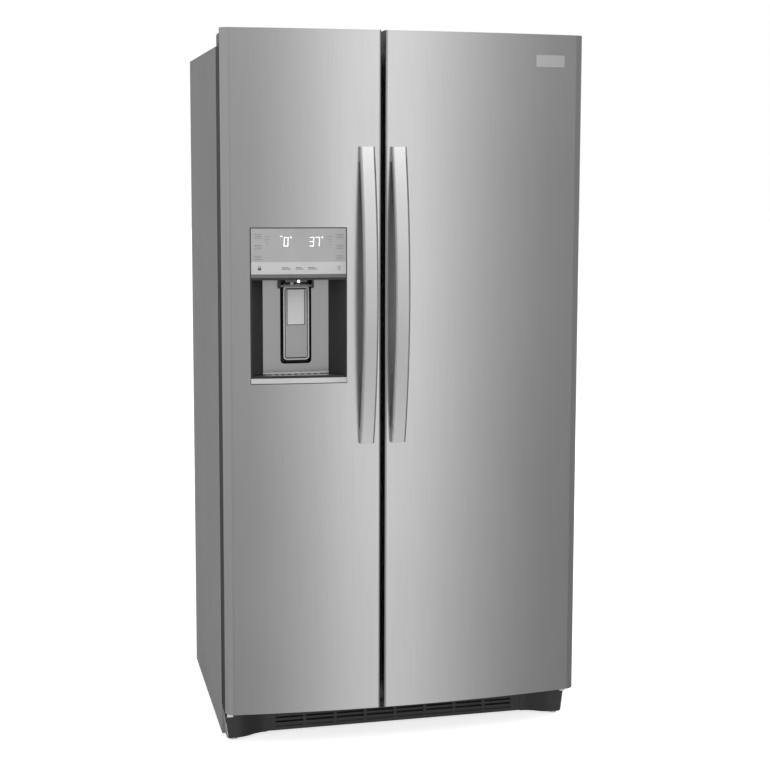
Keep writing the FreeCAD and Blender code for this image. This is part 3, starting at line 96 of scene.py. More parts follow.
def camera():
    """The photograph's point of view."""
    data = bpy.data.cameras.new("camera")
    data.sensor_width = SENSOR_WIDTH
    data.lens = LENS
    data.shift_x = SHIFT_X
    data.shift_y = SHIFT_Y
    data.clip_start = CLIP_START
    data.clip_end = CLIP_END
    obj = bpy.data.objects.new("camera", data)
    bpy.context.scene.collection.objects.link(obj)
    turn = Matrix.Rotation(-YAW, 4, "Z") @ Matrix.Rotation(math.pi / 2 + PITCH, 4, "X")
    turn = turn @ Matrix.Rotation(ROLL, 4, "Z")
    obj.matrix_world = Matrix.Translation(CAMERA_PLACE) @ turn
    bpy.context.scene.camera = obj


# ---------------------------------------------------------------- material helpers


class Shader:
    """A Principled material with helpers that add procedural inputs."""

    def __init__(self, name, colour, roughness, metallic=0.0, **sockets):
        self.material = bpy.data.materials.new(name)
        self.material.use_nodes = True
        self.nodes = self.material.node_tree.nodes
        self.links = self.material.node_tree.links
        self.bsdf = self.nodes["Principled BSDF"]
        self.bsdf.inputs["Base Color"].default_value = (*colour, 1)
        self.bsdf.inputs["Roughness"].default_value = roughness
        self.bsdf.inputs["Metallic"].default_value = metallic
        for key, value in sockets.items():
            self.bsdf.inputs[key.replace("_", " ")].default_value = value
        self.colour = colour
        self.roughness = roughness

    def noise(self, scale, detail):
        """Noise in the object's own metres; scale is features per metre along X, Y and Z."""
        place = self.nodes.new("ShaderNodeTexCoord")
        mapping = self.nodes.new("ShaderNodeMapping")
        mapping.inputs["Scale"].default_value = scale
        texture = self.nodes.new("ShaderNodeTexNoise")
        texture.inputs["Scale"].default_value = 1.0
        texture.inputs["Detail"].default_value = detail
        self.links.new(place.outputs["Object"], mapping.inputs["Vector"])
        self.links.new(mapping.outputs["Vector"], texture.inputs["Vector"])
        return texture.outputs["Fac"]

    def spread(self, value, low, high):
        """Maps a noise value's usual range to low..high."""
        node = self.nodes.new("ShaderNodeMapRange")
        node.inputs["From Min"].default_value = 0.3
        node.inputs["From Max"].default_value = 0.7
        node.inputs["To Min"].default_value = low
        node.inputs["To Max"].default_value = high
        self.links.new(value, node.inputs["Value"])
        return node.outputs["Result"]

    def tint(self, value, amount):
        """Lightens and darkens the base colour by amount as value changes."""
        mix = self.nodes.new("ShaderNodeMix")
        mix.data_type = "RGBA"
        mix.inputs["A"].default_value = (*[c * (1 - amount) for c in self.colour], 1)
        mix.inputs["B"].default_value = (*[min(1.0, c * (1 + amount)) for c in self.colour], 1)
        self.links.new(self.spread(value, 0, 1), mix.inputs["Factor"])
        self.links.new(mix.outputs["Result"], self.bsdf.inputs["Base Color"])

    def vary_roughness(self, value, amount):
        """Raises and lowers the roughness by amount as value changes."""
        low, high = self.roughness - amount, self.roughness + amount
        self.links.new(self.spread(value, low, high), self.bsdf.inputs["Roughness"])

    def bump(self, value, height, strength=1.0):
        """Makes the surface look raised by up to height as value changes."""
        node = self.nodes.new("ShaderNodeBump")
        node.inputs["Strength"].default_value = strength
        node.inputs["Distance"].default_value = height
        self.links.new(value, node.inputs["Height"])
        self.links.new(node.outputs["Normal"], self.bsdf.inputs["Normal"])


def brushed(name, colour, roughness, grain):
    """Brushed metal; grain is the fineness of the lines along X, Y and Z."""
    made = Shader(name, colour, roughness, 1.0)
    lines = made.noise(grain, 2.0)
    cloud = made.noise((3, 3, 2), 2.0)
    made.tint(lines, 0.035)
    made.vary_roughness(cloud, 0.02)
    made.bump(lines, 0.000004)
    return made.material


def plastic(name, colour, roughness, fineness=900, depth=0.00005):
    """Moulded plastic with a fine even texture and faint clouding."""
    made = Shader(name, colour, roughness)
    made.tint(made.noise((9, 9, 9), 2.0), 0.05)
    texture = made.noise((fineness,) * 3, 1.0)
    made.vary_roughness(texture, 0.04)
    made.bump(texture, depth)
    return made.material


def painted(name, colour, roughness, fineness=420, depth=0.00004):
    """Stoved paint on steel, with orange peel."""
    made = Shader(name, colour, roughness)
    made.tint(made.noise((5, 5, 3), 2.0), 0.03)
    peel = made.noise((fineness,) * 3, 2.0)
    made.vary_roughness(made.noise((30, 30, 30), 2.0), 0.03)
    made.bump(peel, depth)
    return made.material


def spangled(name, colour, roughness, size):
    """Zinc coated sheet with its crystal pattern."""
    made = Shader(name, colour, roughness, 1.0)
    place = made.nodes.new("ShaderNodeTexCoord")
    cells = made.nodes.new("ShaderNodeTexVoronoi")
    cells.inputs["Scale"].default_value = size
    made.links.new(place.outputs["Object"], cells.inputs["Vector"])
    grey = made.nodes.new("ShaderNodeRGBToBW")
    made.links.new(cells.outputs["Color"], grey.inputs["Color"])
    made.tint(grey.outputs["Val"], 0.045)
    made.vary_roughness(grey.outputs["Val"], 0.03)
    return made.material


def clear(name, colour, roughness):
    """Clear moulded plastic or glass."""
    made = Shader(name, colour, roughness, Transmission_Weight=0.92, IOR=1.45)
    ripple = made.noise((25, 25, 25), 1.0)
    made.bump(ripple, 0.0001, 0.3)
    made.vary_roughness(made.noise((60, 60, 60), 2.0), 0.01)
    return made.material


def glowing(name, colour, strength):
    """A lit lamp or display element with a slightly uneven glow."""
    made = Shader(name, colour, 0.4)
    made.bsdf.inputs["Emission Color"].default_value = (*colour, 1)
    made.bsdf.inputs["Emission Strength"].default_value = strength
    made.tint(made.noise((200, 200, 200), 1.0), 0.04)
    return made.material


STEEL = (0.62, 0.62, 0.62)
MATERIALS = {
    "brushed_stainless": brushed("brushed_stainless", STEEL, 0.21, (2200, 2200, 6)),
    "satin_bar": brushed("satin_bar", (0.68, 0.68, 0.68), 0.34, (1800, 1800, 8)),
    "painted_grey": painted("painted_grey", (0.37, 0.37, 0.373), 0.42),
    "galvanised": spangled("galvanised", (0.62, 0.63, 0.64), 0.38, 90),
    "zinc_steel": spangled("zinc_steel", (0.78, 0.78, 0.77), 0.28, 220),
    "white_liner": plastic("white_liner", (0.82, 0.83, 0.83), 0.35, 700),
    "foam": plastic("foam", (0.80, 0.72, 0.45), 0.9, 260, 0.0006),
    "black_plastic": plastic("black_plastic", (0.04, 0.04, 0.041), 0.38),
    "grey_plastic": plastic("grey_plastic", (0.30, 0.30, 0.31), 0.38),
    "panel_grey": plastic("panel_grey", (0.58, 0.58, 0.58), 0.30, 1500, 0.00001),
    "clear_plastic": clear("clear_plastic", (0.93, 0.96, 0.97), 0.06),
    "frosted_plastic": plastic("frosted_plastic", (0.80, 0.83, 0.85), 0.45),
    "seal_rubber": plastic("seal_rubber", (0.55, 0.55, 0.56), 0.6, 500),
    "badge_metal": brushed("badge_metal", (0.85, 0.85, 0.85), 0.28, (900, 900, 900)),
    "alloy": brushed("alloy", (0.80, 0.81, 0.82), 0.35, (800, 800, 80)),
    "black_metal": painted("black_metal", (0.015, 0.015, 0.016), 0.35, 300),
    "shelf_glass": clear("shelf_glass", (0.90, 0.97, 0.95), 0.01),
    "lamp_lens": glowing("lamp_lens", (1.0, 0.97, 0.90), 7.0),
    "recess_plate": brushed("recess_plate", (0.43, 0.43, 0.43), 0.36, (1500, 1500, 8)),
    "pad_grey": plastic("pad_grey", (0.46, 0.46, 0.46), 0.42),
    "pad_window": plastic("pad_window", (0.80, 0.80, 0.80), 0.3),
    "rim_grey": plastic("rim_grey", (0.66, 0.66, 0.66), 0.3),
    "key_strip": plastic("key_strip", (0.80, 0.80, 0.80), 0.3, 1500, 0.00001),
    "lip_grey": plastic("lip_grey", (0.22, 0.22, 0.22), 0.35),
    "sill_bright": plastic("sill_bright", (0.82, 0.82, 0.82), 0.3),
    "print_grey": plastic("print_grey", (0.16, 0.16, 0.16), 0.5),
    "display_white": glowing("display_white", (1.0, 1.0, 1.0), 1.1),
    "lamp_white": glowing("lamp_white", (1.0, 1.0, 1.0), 4.0),
}


# ---------------------------------------------------------------- mesh helpers


def piece(name, points, faces, finish, body, smooth=False, bevel=0.0):
    """A new mesh piece with its material, riding on a CAD body."""
    mesh = bpy.data.meshes.new(name)
    mesh.from_pydata([tuple(point) for point in points], [], faces)
    mesh.materials.append(MATERIALS[finish])
    if smooth:
        mesh.shade_smooth()
    obj = bpy.data.objects.new(name, mesh)
    bpy.context.scene.collection.objects.link(obj)
    if bevel:
        edge = obj.modifiers.new("bevel", "BEVEL")
        edge.width = bevel
        edge.segments = 2
        edge.limit_method = "ANGLE"
    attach(obj, body)
    return obj


def merged(parts):
    """Joins (points, faces) pairs into one."""
    points, faces = [], []
    for more, rings in parts:
        start = len(points)
        points += more
        faces += [tuple(start + i for i in ring) for ring in rings]
    return points, faces


def slab(outline, front, thick):
    """An outline of (x, z) points made into a plate; front gives y of its front face at x."""
    count = len(outline)
    points = [(x, front(x), z) for x, z in outline]
    points += [(x, front(x) + thick, z) for x, z in outline]
    faces = [tuple(range(count)), tuple(range(2 * count - 1, count - 1, -1))]
    for i in range(count):
        k = (i + 1) % count
        faces.append((i, i + count, k + count, k))
    return points, faces


def laid(outline, low, high):
    """A flat plate from an outline of (x, y) points."""
    count = len(outline)
    points = [(x, y, z) for z in (low, high) for x, y in outline]
    faces = [tuple(range(count))[::-1], tuple(range(count, 2 * count))]
    for i in range(count):
        k = (i + 1) % count
        faces.append((i, k, k + count, i + count))
    return points, faces


def strip(x_low, x_high, z_low, z_high, front, thick, back_in=0.0):
    """A strip that follows the bowed front; its lower edge may lie further back by back_in."""
    steps = 24
    points = []
    for i in range(steps + 1):
        x = x_low + (x_high - x_low) * i / steps
        y = front(x)
        points += [(x, y, z_high), (x, y + back_in, z_low),
                   (x, y + back_in + thick, z_low), (x, y + thick, z_high)]
    faces = [(0, 1, 2, 3), (4 * steps + 3, 4 * steps + 2, 4 * steps + 1, 4 * steps)]
    for i in range(steps):
        for k in range(4):
            n = (k + 1) % 4
            faces.append((4 * i + k, 4 * i + 4 + k, 4 * i + 4 + n, 4 * i + n))
    return points, faces


def rounded(x_low, x_high, z_low, z_high, radius, steps=5):
    """Outline of a rectangle with rounded corners, anticlockwise from the front."""
    outline = []
    corners = [(x_high - radius, z_low + radius, -90), (x_high - radius, z_high - radius, 0),
               (x_low + radius, z_high - radius, 90), (x_low + radius, z_low + radius, 180)]
    for x, z, start in corners:
        for i in range(steps + 1):
            angle = math.radians(start + 90 * i / steps)
            outline.append((x + radius * math.cos(angle), z + radius * math.sin(angle)))
    return outline


def ring(outer, inner, front, thick):
    """A flat frame between two outlines with the same number of points."""
    count = len(outer)
    points = []
    for outline in (outer, inner):
        points += [(x, front(x), z) for x, z in outline]
        points += [(x, front(x) + thick, z) for x, z in outline]
    faces = []
    for i in range(count):
        k = (i + 1) % count
        faces.append((i, k, k + 2 * count, i + 2 * count))
        faces.append((i + count, i + 3 * count, k + 3 * count, k + count))
        faces.append((i, i + count, k + count, k))
        faces.append((i + 2 * count, k + 2 * count, k + 3 * count, i + 3 * count))
    return points, faces


def brick(low, high):
    """A block between two corners."""
    points = [(x, y, z) for x in (low[0], high[0]) for y in (low[1], high[1]) for z in (low[2], high[2])]
    faces = [(0, 1, 3, 2), (4, 6, 7, 5), (0, 4, 5, 1), (2, 3, 7, 6), (0, 2, 6, 4), (1, 5, 7, 3)]
    return points, faces


def turned(profile, centre, axis, steps=20):
    """Revolves (radius, along) points about an axis through centre; closed at both ends."""
    along = {"x": 0, "y": 1, "z": 2}[axis]
    side, up = [i for i in range(3) if i != along]
    points = []
    for radius, reach in profile:
        for i in range(steps):
            angle = 2 * math.pi * i / steps
            point = list(centre)
            point[along] += reach
            point[side] += radius * math.cos(angle)
            point[up] += radius * math.sin(angle)
            points.append(tuple(point))
    faces = [tuple(range(steps))[::-1], tuple(len(points) - steps + i for i in range(steps))]
    for row in range(len(profile) - 1):
        for i in range(steps):
            k = (i + 1) % steps
            a, b = row * steps, (row + 1) * steps
            faces.append((a + i, a + k, b + k, b + i))
    return points, faces


def dress_cad_nodes():
    """Gives every CAD node the procedural material of its slot."""
    slots = {row["node"]: row["material_slot"] for row in frame["record"]["subparts"]}
    for name, obj in NODES.items():
        for place in obj.material_slots:
            place.material = MATERIALS[slots[name]]


# ---------------------------------------------------------------- dispenser

HOUSING_LOW, HOUSING_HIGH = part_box("dispenser_housing")
PANEL_LOW, PANEL_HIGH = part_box("dispenser_panel")
PADDLE_LOW, PADDLE_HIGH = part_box("dispenser_paddle")
TRAY_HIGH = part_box("drip_tray")[1]
MIDDLE = (HOUSING_LOW.x + HOUSING_HIGH.x) / 2
RECESS_BACK = -291 * MM
RECESS_HALF = 82.4 * MM
SLOT_HALF = 38.8 * MM
SLOT_LOW = 967 * MM
LIP_LOW = 1177 * MM
KEYS_HIGH = 1221 * MM
SILL_HIGH = 937 * MM
RIM_HALF = 31.8 * MM
PANEL_PROUD = 2.0 * MM
DIGIT_PROUD = 0.25 * MM
DIGIT_THICK = 0.2 * MM
PRINT_THICK = 0.15 * MM
SEGMENTS = {
    "0": "abcdef",
    "3": "abgcd",
    "7": "abc",
}


def on_panel(proud):
    """Front face of something that stands proud of the control panel."""
    return lambda x: front_y(x, PANEL_PROUD + proud)


def digit(character, left, low, width, high):
    """A seven segment digit as flat bars."""
    thick = 2.3 * MM
    half = high / 2
    lean = 0.04
    bars = {
        "a": (0, high - thick, width, high),
        "b": (width - thick, half, width, high),
        "c": (width - thick, 0, width, half),
        "d": (0, 0, width, thick),
        "e": (0, 0, thick, half),
        "f": (0, half, thick, high),
        "g": (0, half - thick / 2, width, half + thick / 2),
    }
    made = []
    for name in SEGMENTS[character]:
        x_low, z_low, x_high, z_high = bars[name]
        gap = 0.35 * MM
        corners = [(x_low + gap, z_low + gap), (x_high - gap, z_low + gap),
                   (x_high - gap, z_high - gap), (x_low + gap, z_high - gap)]
        outline = [(left + x + lean * z, low + z) for x, z in corners]
        made.append(slab(outline, on_panel(DIGIT_PROUD), DIGIT_THICK))
    return made


def degree(x, z, radius):
    """The small ring of a degree sign."""
    outer = rounded(x - radius, x + radius, z - radius, z + radius, radius * 0.99, 4)
    small = radius * 0.55
    inner = rounded(x - small, x + small, z - small, z + small, small * 0.99, 4)
    return ring(outer, inner, on_panel(DIGIT_PROUD), DIGIT_THICK)


def display():
    """Two generic temperatures, the first with a minus sign, and their degree signs."""
    low, high = PANEL_HIGH.z - 43.5 * MM, 23 * MM
    parts = digit("0", MIDDLE - 37 * MM, low, 11.5 * MM, high)
    parts += digit("3", MIDDLE + 25.5 * MM, low, 11 * MM, high)
    parts += digit("7", MIDDLE + 39.5 * MM, low, 11 * MM, high)
    parts += [degree(MIDDLE - 19 * MM, low + high - 1 * MM, 2.0 * MM)]
    parts += [degree(MIDDLE + 57 * MM, low + high - 1 * MM, 2.0 * MM)]
    parts += [dash(MIDDLE - 45 * MM, low + high + 1 * MM, 5.5 * MM, 1.6 * MM)]
    piece("display_digits", *merged(parts), "display_white", "freezer_door")


def dash(x, z, width, high):
    """A short flat bar on the panel."""
    corners = [(x, z), (x + width, z), (x + width, z + high), (x, z + high)]
    return slab(corners, on_panel(0.2 * MM), PRINT_THICK)


def panel_marks():
    """Short plain dashes where the panel names its settings."""
    parts = []
    top = PANEL_HIGH.z
    for drop, rows in ((15, 3), (41, 3), (67, 3)):
        for k in range(rows):
            z = top - (drop + 4 * k) * MM
            inset = (k % 2) * 4 * MM
            parts.append(dash(PANEL_LOW.x + 7 * MM + inset, z, 19 * MM - inset, 0.8 * MM))
            parts.append(dash(PANEL_HIGH.x - 26 * MM + inset, z, 19 * MM - inset, 0.8 * MM))
    for shift in (-84, 68):
        for k in range(4):
            z = top - (20 + 6.5 * k) * MM
            parts.append(dash(MIDDLE + (shift + 2 * k) * MM, z, (16 - 4 * k) * MM, 0.6 * MM))
    piece("panel_marks", *merged(parts), "print_grey", "freezer_door")


def key_marks():
    """Generic marks on the row of keys: a padlock, three bars and a lamp."""
    level = (PANEL_LOW.z + KEYS_HIGH) / 2 - 3 * MM
    face = on_panel(0.55 * MM)
    parts = []
    for x, width in ((-41.5, 22), (-7.5, 19), (22, 22)):
        for k in range(2):
            corners = rounded(MIDDLE + x * MM, MIDDLE + (x + width - 5 * k) * MM,
                              level + 3.4 * k * MM, level + (3.4 * k + 1.5) * MM, 0.6 * MM, 2)
            parts.append(slab(corners, face, PRINT_THICK))
    lock = MIDDLE - 95 * MM
    body = rounded(lock - 4 * MM, lock + 4 * MM, level - 2 * MM, level + 4 * MM, 0.8 * MM, 2)
    parts.append(slab(body, face, PRINT_THICK))
    outer = rounded(lock - 3 * MM, lock + 3 * MM, level + 3 * MM, level + 9 * MM, 2.8 * MM, 3)
    inner = rounded(lock - 2 * MM, lock + 2 * MM, level + 4 * MM, level + 8 * MM, 1.9 * MM, 3)
    parts.append(ring(outer, inner, face, PRINT_THICK))
    light = MIDDLE + 98 * MM
    bulb = rounded(light - 3.5 * MM, light + 3.5 * MM, level + 1 * MM, level + 8 * MM, 3.4 * MM, 4)
    hole = rounded(light - 2.5 * MM, light + 2.5 * MM, level + 2 * MM, level + 7 * MM, 2.4 * MM, 4)
    parts.append(ring(bulb, hole, face, PRINT_THICK))
    foot = rounded(light - 1.5 * MM, light + 1.5 * MM, level - 2 * MM, level, 0.4 * MM, 2)
    parts.append(slab(foot, face, PRINT_THICK))
    piece("key_marks", *merged(parts), "print_grey", "freezer_door")


def control_face():
    """The light key strip under the display, and the dark bevelled lip below it."""
    left, right = PANEL_LOW.x + 0.6 * MM, PANEL_HIGH.x - 0.6 * MM
    keys = strip(left, right, PANEL_LOW.z + 0.6 * MM, KEYS_HIGH, on_panel(0.4 * MM), 0.6 * MM)
    piece("key_strip", *keys, "key_strip", "freezer_door")
    lip = strip(left - 1 * MM, right + 1 * MM, LIP_LOW + 0.4 * MM, PANEL_LOW.z - 0.2 * MM,
                on_panel(0.3 * MM), 0.6 * MM, 1.2 * MM)
    piece("panel_lip", *lip, "lip_grey", "freezer_door")
    display()
    panel_marks()
    key_marks()


def recess_plate():
    """Brushed plate on the recess's back wall, round the paddle's slot."""
    base = TRAY_HIGH.z + 3 * MM
    edge = RECESS_HALF - 0.8 * MM
    radius = 10 * MM
    arc_steps = 8
    outline = [(MIDDLE - edge, LIP_LOW), (MIDDLE - edge, base), (MIDDLE + edge, base),
               (MIDDLE + edge, LIP_LOW), (MIDDLE + SLOT_HALF, LIP_LOW)]
    for side, start in ((1, 0), (-1, -90)):
        centre = MIDDLE + side * SLOT_HALF - side * radius
        for i in range(arc_steps + 1):
            angle = math.radians(start - 90 * i / arc_steps)
            outline.append((centre + radius * math.cos(angle),
                            SLOT_LOW + radius + radius * math.sin(angle)))
    outline.append((MIDDLE - SLOT_HALF, LIP_LOW))
    plate = slab(outline, lambda x: RECESS_BACK - 0.8 * MM, 0.7 * MM)
    piece("recess_plate", *plate, "recess_plate", "freezer_door")


def nozzle():
    """Hood over the paddle with the water spout and the lamp that lights a glass."""
    front = RECESS_BACK - 9 * MM
    top = LIP_LOW - 0.5 * MM
    hood = rounded(MIDDLE - 27 * MM, MIDDLE + 27 * MM, top - 8 * MM, top, 2 * MM, 3)
    piece("nozzle_hood", *slab(hood, lambda x: front, 8.5 * MM), "lip_grey", "freezer_door", bevel=0.5 * MM)
    spout = turned([(2.2 * MM, 0), (4.6 * MM, 0), (4.6 * MM, 7 * MM), (2.2 * MM, 7 * MM)],
                   (MIDDLE - 11 * MM, front + 3 * MM, top - 14.5 * MM), "z")
    piece("water_spout", *spout, "rim_grey", "freezer_door")
    lens = turned([(0.8 * MM, -1.2 * MM), (2.6 * MM, -0.8 * MM), (3.2 * MM, 0), (3.2 * MM, 1.5 * MM)],
                  (MIDDLE + 6 * MM, front - 0.2 * MM, top - 5.5 * MM), "y")
    piece("recess_lamp", *lens, "lamp_white", "freezer_door", smooth=True)


def paddle_trim():
    """Light rim, grey pad and bright window on the paddle."""
    face = PADDLE_LOW.y + 2.5 * MM
    half, low, high = RIM_HALF, PADDLE_LOW.z, PADDLE_HIGH.z - 7 * MM
    outer = rounded(MIDDLE - half, MIDDLE + half, low, high, 9 * MM)
    wide = half - 3.2 * MM
    inner = rounded(MIDDLE - wide, MIDDLE + wide, low + 3.2 * MM, high - 3.2 * MM, 6 * MM)
    piece("paddle_rim", *ring(outer, inner, lambda x: face - 1 * MM, 1 * MM), "rim_grey", "dispenser_paddle",
          bevel=0.3 * MM)
    pad = rounded(MIDDLE - 26.5 * MM, MIDDLE + 26.5 * MM, low + 6.5 * MM, high - 6 * MM, 3 * MM)
    piece("pad_gap", *ring(inner, pad, lambda x: face - 0.3 * MM, 0.3 * MM), "black_plastic",
          "dispenser_paddle")
    piece("paddle_pad", *slab(pad, lambda x: face - 0.6 * MM, 0.6 * MM), "pad_grey", "dispenser_paddle")
    edge = rounded(MIDDLE - 23.2 * MM, MIDDLE + 21.2 * MM, high - 94.7 * MM, high - 5.8 * MM, 1 * MM, 2)
    window = rounded(MIDDLE - 21.7 * MM, MIDDLE + 19.7 * MM, high - 93.2 * MM, high - 7.3 * MM, 1 * MM, 2)
    piece("pad_border", *ring(edge, window, lambda x: face - 1.1 * MM, 0.5 * MM), "black_plastic",
          "dispenser_paddle")
    piece("pad_window", *slab(window, lambda x: face - 0.9 * MM, 0.3 * MM), "pad_window", "dispenser_paddle")


def recess_foot():
    """Light bar across the recess's foot and the ledge behind the tray."""
    bar = strip(HOUSING_LOW.x + 1.2 * MM, HOUSING_HIGH.x - 1.2 * MM, HOUSING_LOW.z + 2 * MM,
                SILL_HIGH, lambda x: front_y(x, 2.1 * MM), 0.6 * MM)
    piece("recess_sill", *bar, "sill_bright", "freezer_door")
    low, high = TRAY_HIGH.z + 0.4 * MM, TRAY_HIGH.z + 3.4 * MM
    ledge = brick((MIDDLE - RECESS_HALF, RECESS_BACK - 3.8 * MM, low),
                  (MIDDLE + RECESS_HALF, RECESS_BACK, high))
    piece("recess_ledge", *ledge, "key_strip", "freezer_door", bevel=0.4 * MM)


def tray_face():
    """Grey face of the tray: bands in front of and behind the slots, and bars between them."""
    low, high = TRAY_HIGH.z, TRAY_HIGH.z + 0.8 * MM
    half = 76 * MM
    slots_front, slots_back = -318 * MM, -299.5 * MM
    left_front, right_front = -327 * MM, -338 * MM
    front = [(MIDDLE - half + 8 * MM, left_front), (MIDDLE + half - 8 * MM, right_front),
             (MIDDLE + half, right_front + 7 * MM), (MIDDLE + half, slots_front),
             (MIDDLE - half, slots_front), (MIDDLE - half, left_front + 5 * MM)]
    parts = [laid(front, low, high),
             brick((MIDDLE - half, slots_back, low), (MIDDLE + half, TRAY_HIGH.y - 0.5 * MM, high))]
    bars = 8
    first_bar = -61.4
    bar_pitch = 16
    bar_width = 4.8 * MM
    for i in range(bars):
        x = MIDDLE + (first_bar + bar_pitch * i) * MM
        parts.append(brick((x, slots_front, low), (x + bar_width, slots_back, high)))
    piece("tray_face", *merged(parts), "pad_grey", "drip_tray", bevel=0.2 * MM)


def dispenser():
    """All added pieces of the dispenser."""
    control_face()
    recess_plate()
    nozzle()
    paddle_trim()
    recess_foot()
    tray_face()


# ---------------------------------------------------------------- inside the compartments

BIN_TALL = 92 * MM
BIN_LEVELS = {
    "freezer": (190, 420, 650, 880, 1100),
    "fridge": (190, 430, 680, 930, 1180),
}
SHELF_LEVELS = (568, 742, 950, 1160, 1370)


def bin_rims():
    """Thicker rims round the tops of the door bins."""
    for name, levels in BIN_LEVELS.items():
        low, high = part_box(name + "_door_bins")
        sides = ((low.x, high.x, high.y - 3 * MM, high.y + 1.5 * MM),
                 (low.x, low.x + 3 * MM, low.y + 2 * MM, high.y - 3 * MM),
                 (high.x - 3 * MM, high.x, low.y + 2 * MM, high.y - 3 * MM))
        rims = []
        for level in levels:
            top = level * MM + BIN_TALL
            for x_low, x_high, y_low, y_high in sides:
                rims.append(brick((x_low, y_low, top), (x_high, y_high, top + 3 * MM)))
        piece(name + "_bin_rims", *merged(rims), "frosted_plastic", name + "_door", bevel=0.6 * MM)


def drawer_pulls():
    """A rounded grip along the lip of each drawer."""
    for name in ("freezer_basket", "ice_bin", "crisper_drawer", "deli_drawer"):
        low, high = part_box(name)
        grip = rounded(low.x + 28 * MM, high.x - 28 * MM, high.z - 22 * MM, high.z - 9 * MM, 4 * MM)
        points, faces = slab(grip, lambda x: low.y - 1.5 * MM, 1.5 * MM)
        piece(name + "_pull", points, faces, "white_liner", name, bevel=0.6 * MM)


def shelf_trims():
    """Bright trims along the front edges of the glass shelves."""
    low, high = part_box("shelf_frames")
    trims = []
    for level in SHELF_LEVELS:
        z = level * MM
        trims.append(brick((low.x + 1 * MM, low.y - 1.6 * MM, z + 1 * MM),
                           (high.x - 1 * MM, low.y, z + 11 * MM)))
    piece("shelf_trims", *merged(trims), "badge_metal", "cabinet", bevel=0.6 * MM)


def maker_cover():
    """Front cover of the ice maker's motor head, with its switch."""
    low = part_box("ice_maker")[0]
    head_right = low.x + 50 * MM
    foot = low.z + 2 * MM
    face = rounded(low.x + 3 * MM, head_right - 3 * MM, foot + 3 * MM, foot + 84 * MM, 6 * MM)
    cover = slab(face, lambda x: low.y - 2 * MM, 2 * MM)
    piece("maker_cover", *cover, "white_liner", "cabinet", bevel=0.8 * MM)
    middle = (low.x + head_right) / 2
    switch = rounded(middle - 6 * MM, middle + 6 * MM, foot + 58 * MM, foot + 72 * MM, 2 * MM)
    piece("maker_switch", *slab(switch, lambda x: low.y - 4 * MM, 2 * MM), "grey_plastic", "cabinet",
          bevel=0.5 * MM)


def inside():
    """All added pieces inside the compartments."""
    bin_rims()
    drawer_pulls()
    shelf_trims()
    maker_cover()


# ---------------------------------------------------------------- base


def grille_slats():
    """Slanted slats behind the toe grille that hide the machine space."""
    low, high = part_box("toe_grille")
    slats = []
    count = 5
    pitch = (high.z - low.z) / count
    for i in range(count):
        z = low.z + pitch * (i + 0.5)
        points = [(x, y, level) for x in (low.x + 4 * MM, high.x - 4 * MM)
                  for y, level in ((high.y + 1 * MM, z + pitch * 0.45), (high.y + 9 * MM, z - pitch * 0.6),
                                   (high.y + 10 * MM, z - pitch * 0.5), (high.y + 2 * MM, z + pitch * 0.55))]
        faces = [(0, 1, 2, 3), (7, 6, 5, 4), (0, 4, 5, 1), (1, 5, 6, 2), (2, 6, 7, 3), (3, 7, 4, 0)]
        slats.append((points, faces))
    piece("grille_slats", *merged(slats), "black_plastic", "cabinet")


# ---------------------------------------------------------------- studio

# Each glow is the azimuth of its middle and its reach, in degrees, and its strength.
FRONT_GLOW = (11, 31, 1.10)
BACK_GLOW = (150, 42, 0.70)
FLOOR_PATCH = (-66, 42, 0.75)
ROOM_LIGHT = 0.275
LEFT_START = -0.10
LEFT_FULL = -0.40
LEFT_LIGHT = 0.20
LIGHT_BELOW = 0.72
LIGHT_FLOOR = 1.7
LIGHT_ABOVE = 1.40
LIGHT_BEHIND = 0.2
# Where each share of the light changes, as a part of the unit direction: its height, or its Y.
PATCH_HEIGHT = (-0.48, -0.36)
BELOW_HEIGHT = (-0.38, -0.1)
FLOOR_HEIGHT = (-0.62, -0.38)
ABOVE_HEIGHT = (0.0, 0.5)
BEHIND_Y = (0.85, 0.97)
FLOOR_GLOW = 0.74


def room_light(nodes, links):
    """Strength of the room's light by direction.

    It has a paler left side, glows in front and behind and a patch low on the left; less light
    comes from straight behind and from just below the horizon, and more from the floor and above.
    """
    place = nodes.new("ShaderNodeTexCoord")
    level = nodes.new("ShaderNodeVectorMath")
    level.operation = "MULTIPLY"
    level.inputs[1].default_value = (1, 1, 0)
    links.new(place.outputs["Generated"], level.inputs[0])
    along = nodes.new("ShaderNodeVectorMath")
    along.operation = "NORMALIZE"
    links.new(level.outputs["Vector"], along.inputs[0])
    heading = along.outputs["Vector"]
    light = from_range(nodes, links, axis_of(nodes, links, heading, "X"),
                       LEFT_FULL, LEFT_START, ROOM_LIGHT + LEFT_LIGHT, ROOM_LIGHT)
    height = axis_of(nodes, links, place.outputs["Generated"], "Z")
    steep = from_range(nodes, links, height, *PATCH_HEIGHT, 1.0, 0.0)
    patch = combine(nodes, links, "MULTIPLY", glow(nodes, links, heading, *FLOOR_PATCH), steep)
    for more in (glow(nodes, links, heading, *FRONT_GLOW), glow(nodes, links, heading, *BACK_GLOW), patch):
        light = combine(nodes, links, "ADD", light, more)
    behind = from_range(nodes, links, axis_of(nodes, links, heading, "Y"), *BEHIND_Y, 1.0, LIGHT_BEHIND)
    below = from_range(nodes, links, height, *BELOW_HEIGHT, LIGHT_BELOW, 1.0)
    floor = from_range(nodes, links, height, *FLOOR_HEIGHT, LIGHT_FLOOR, 1.0)
    above = from_range(nodes, links, height, *ABOVE_HEIGHT, 1.0, LIGHT_ABOVE)
    for share in (behind, below, floor, above):
        light = combine(nodes, links, "MULTIPLY", light, share)
    return light


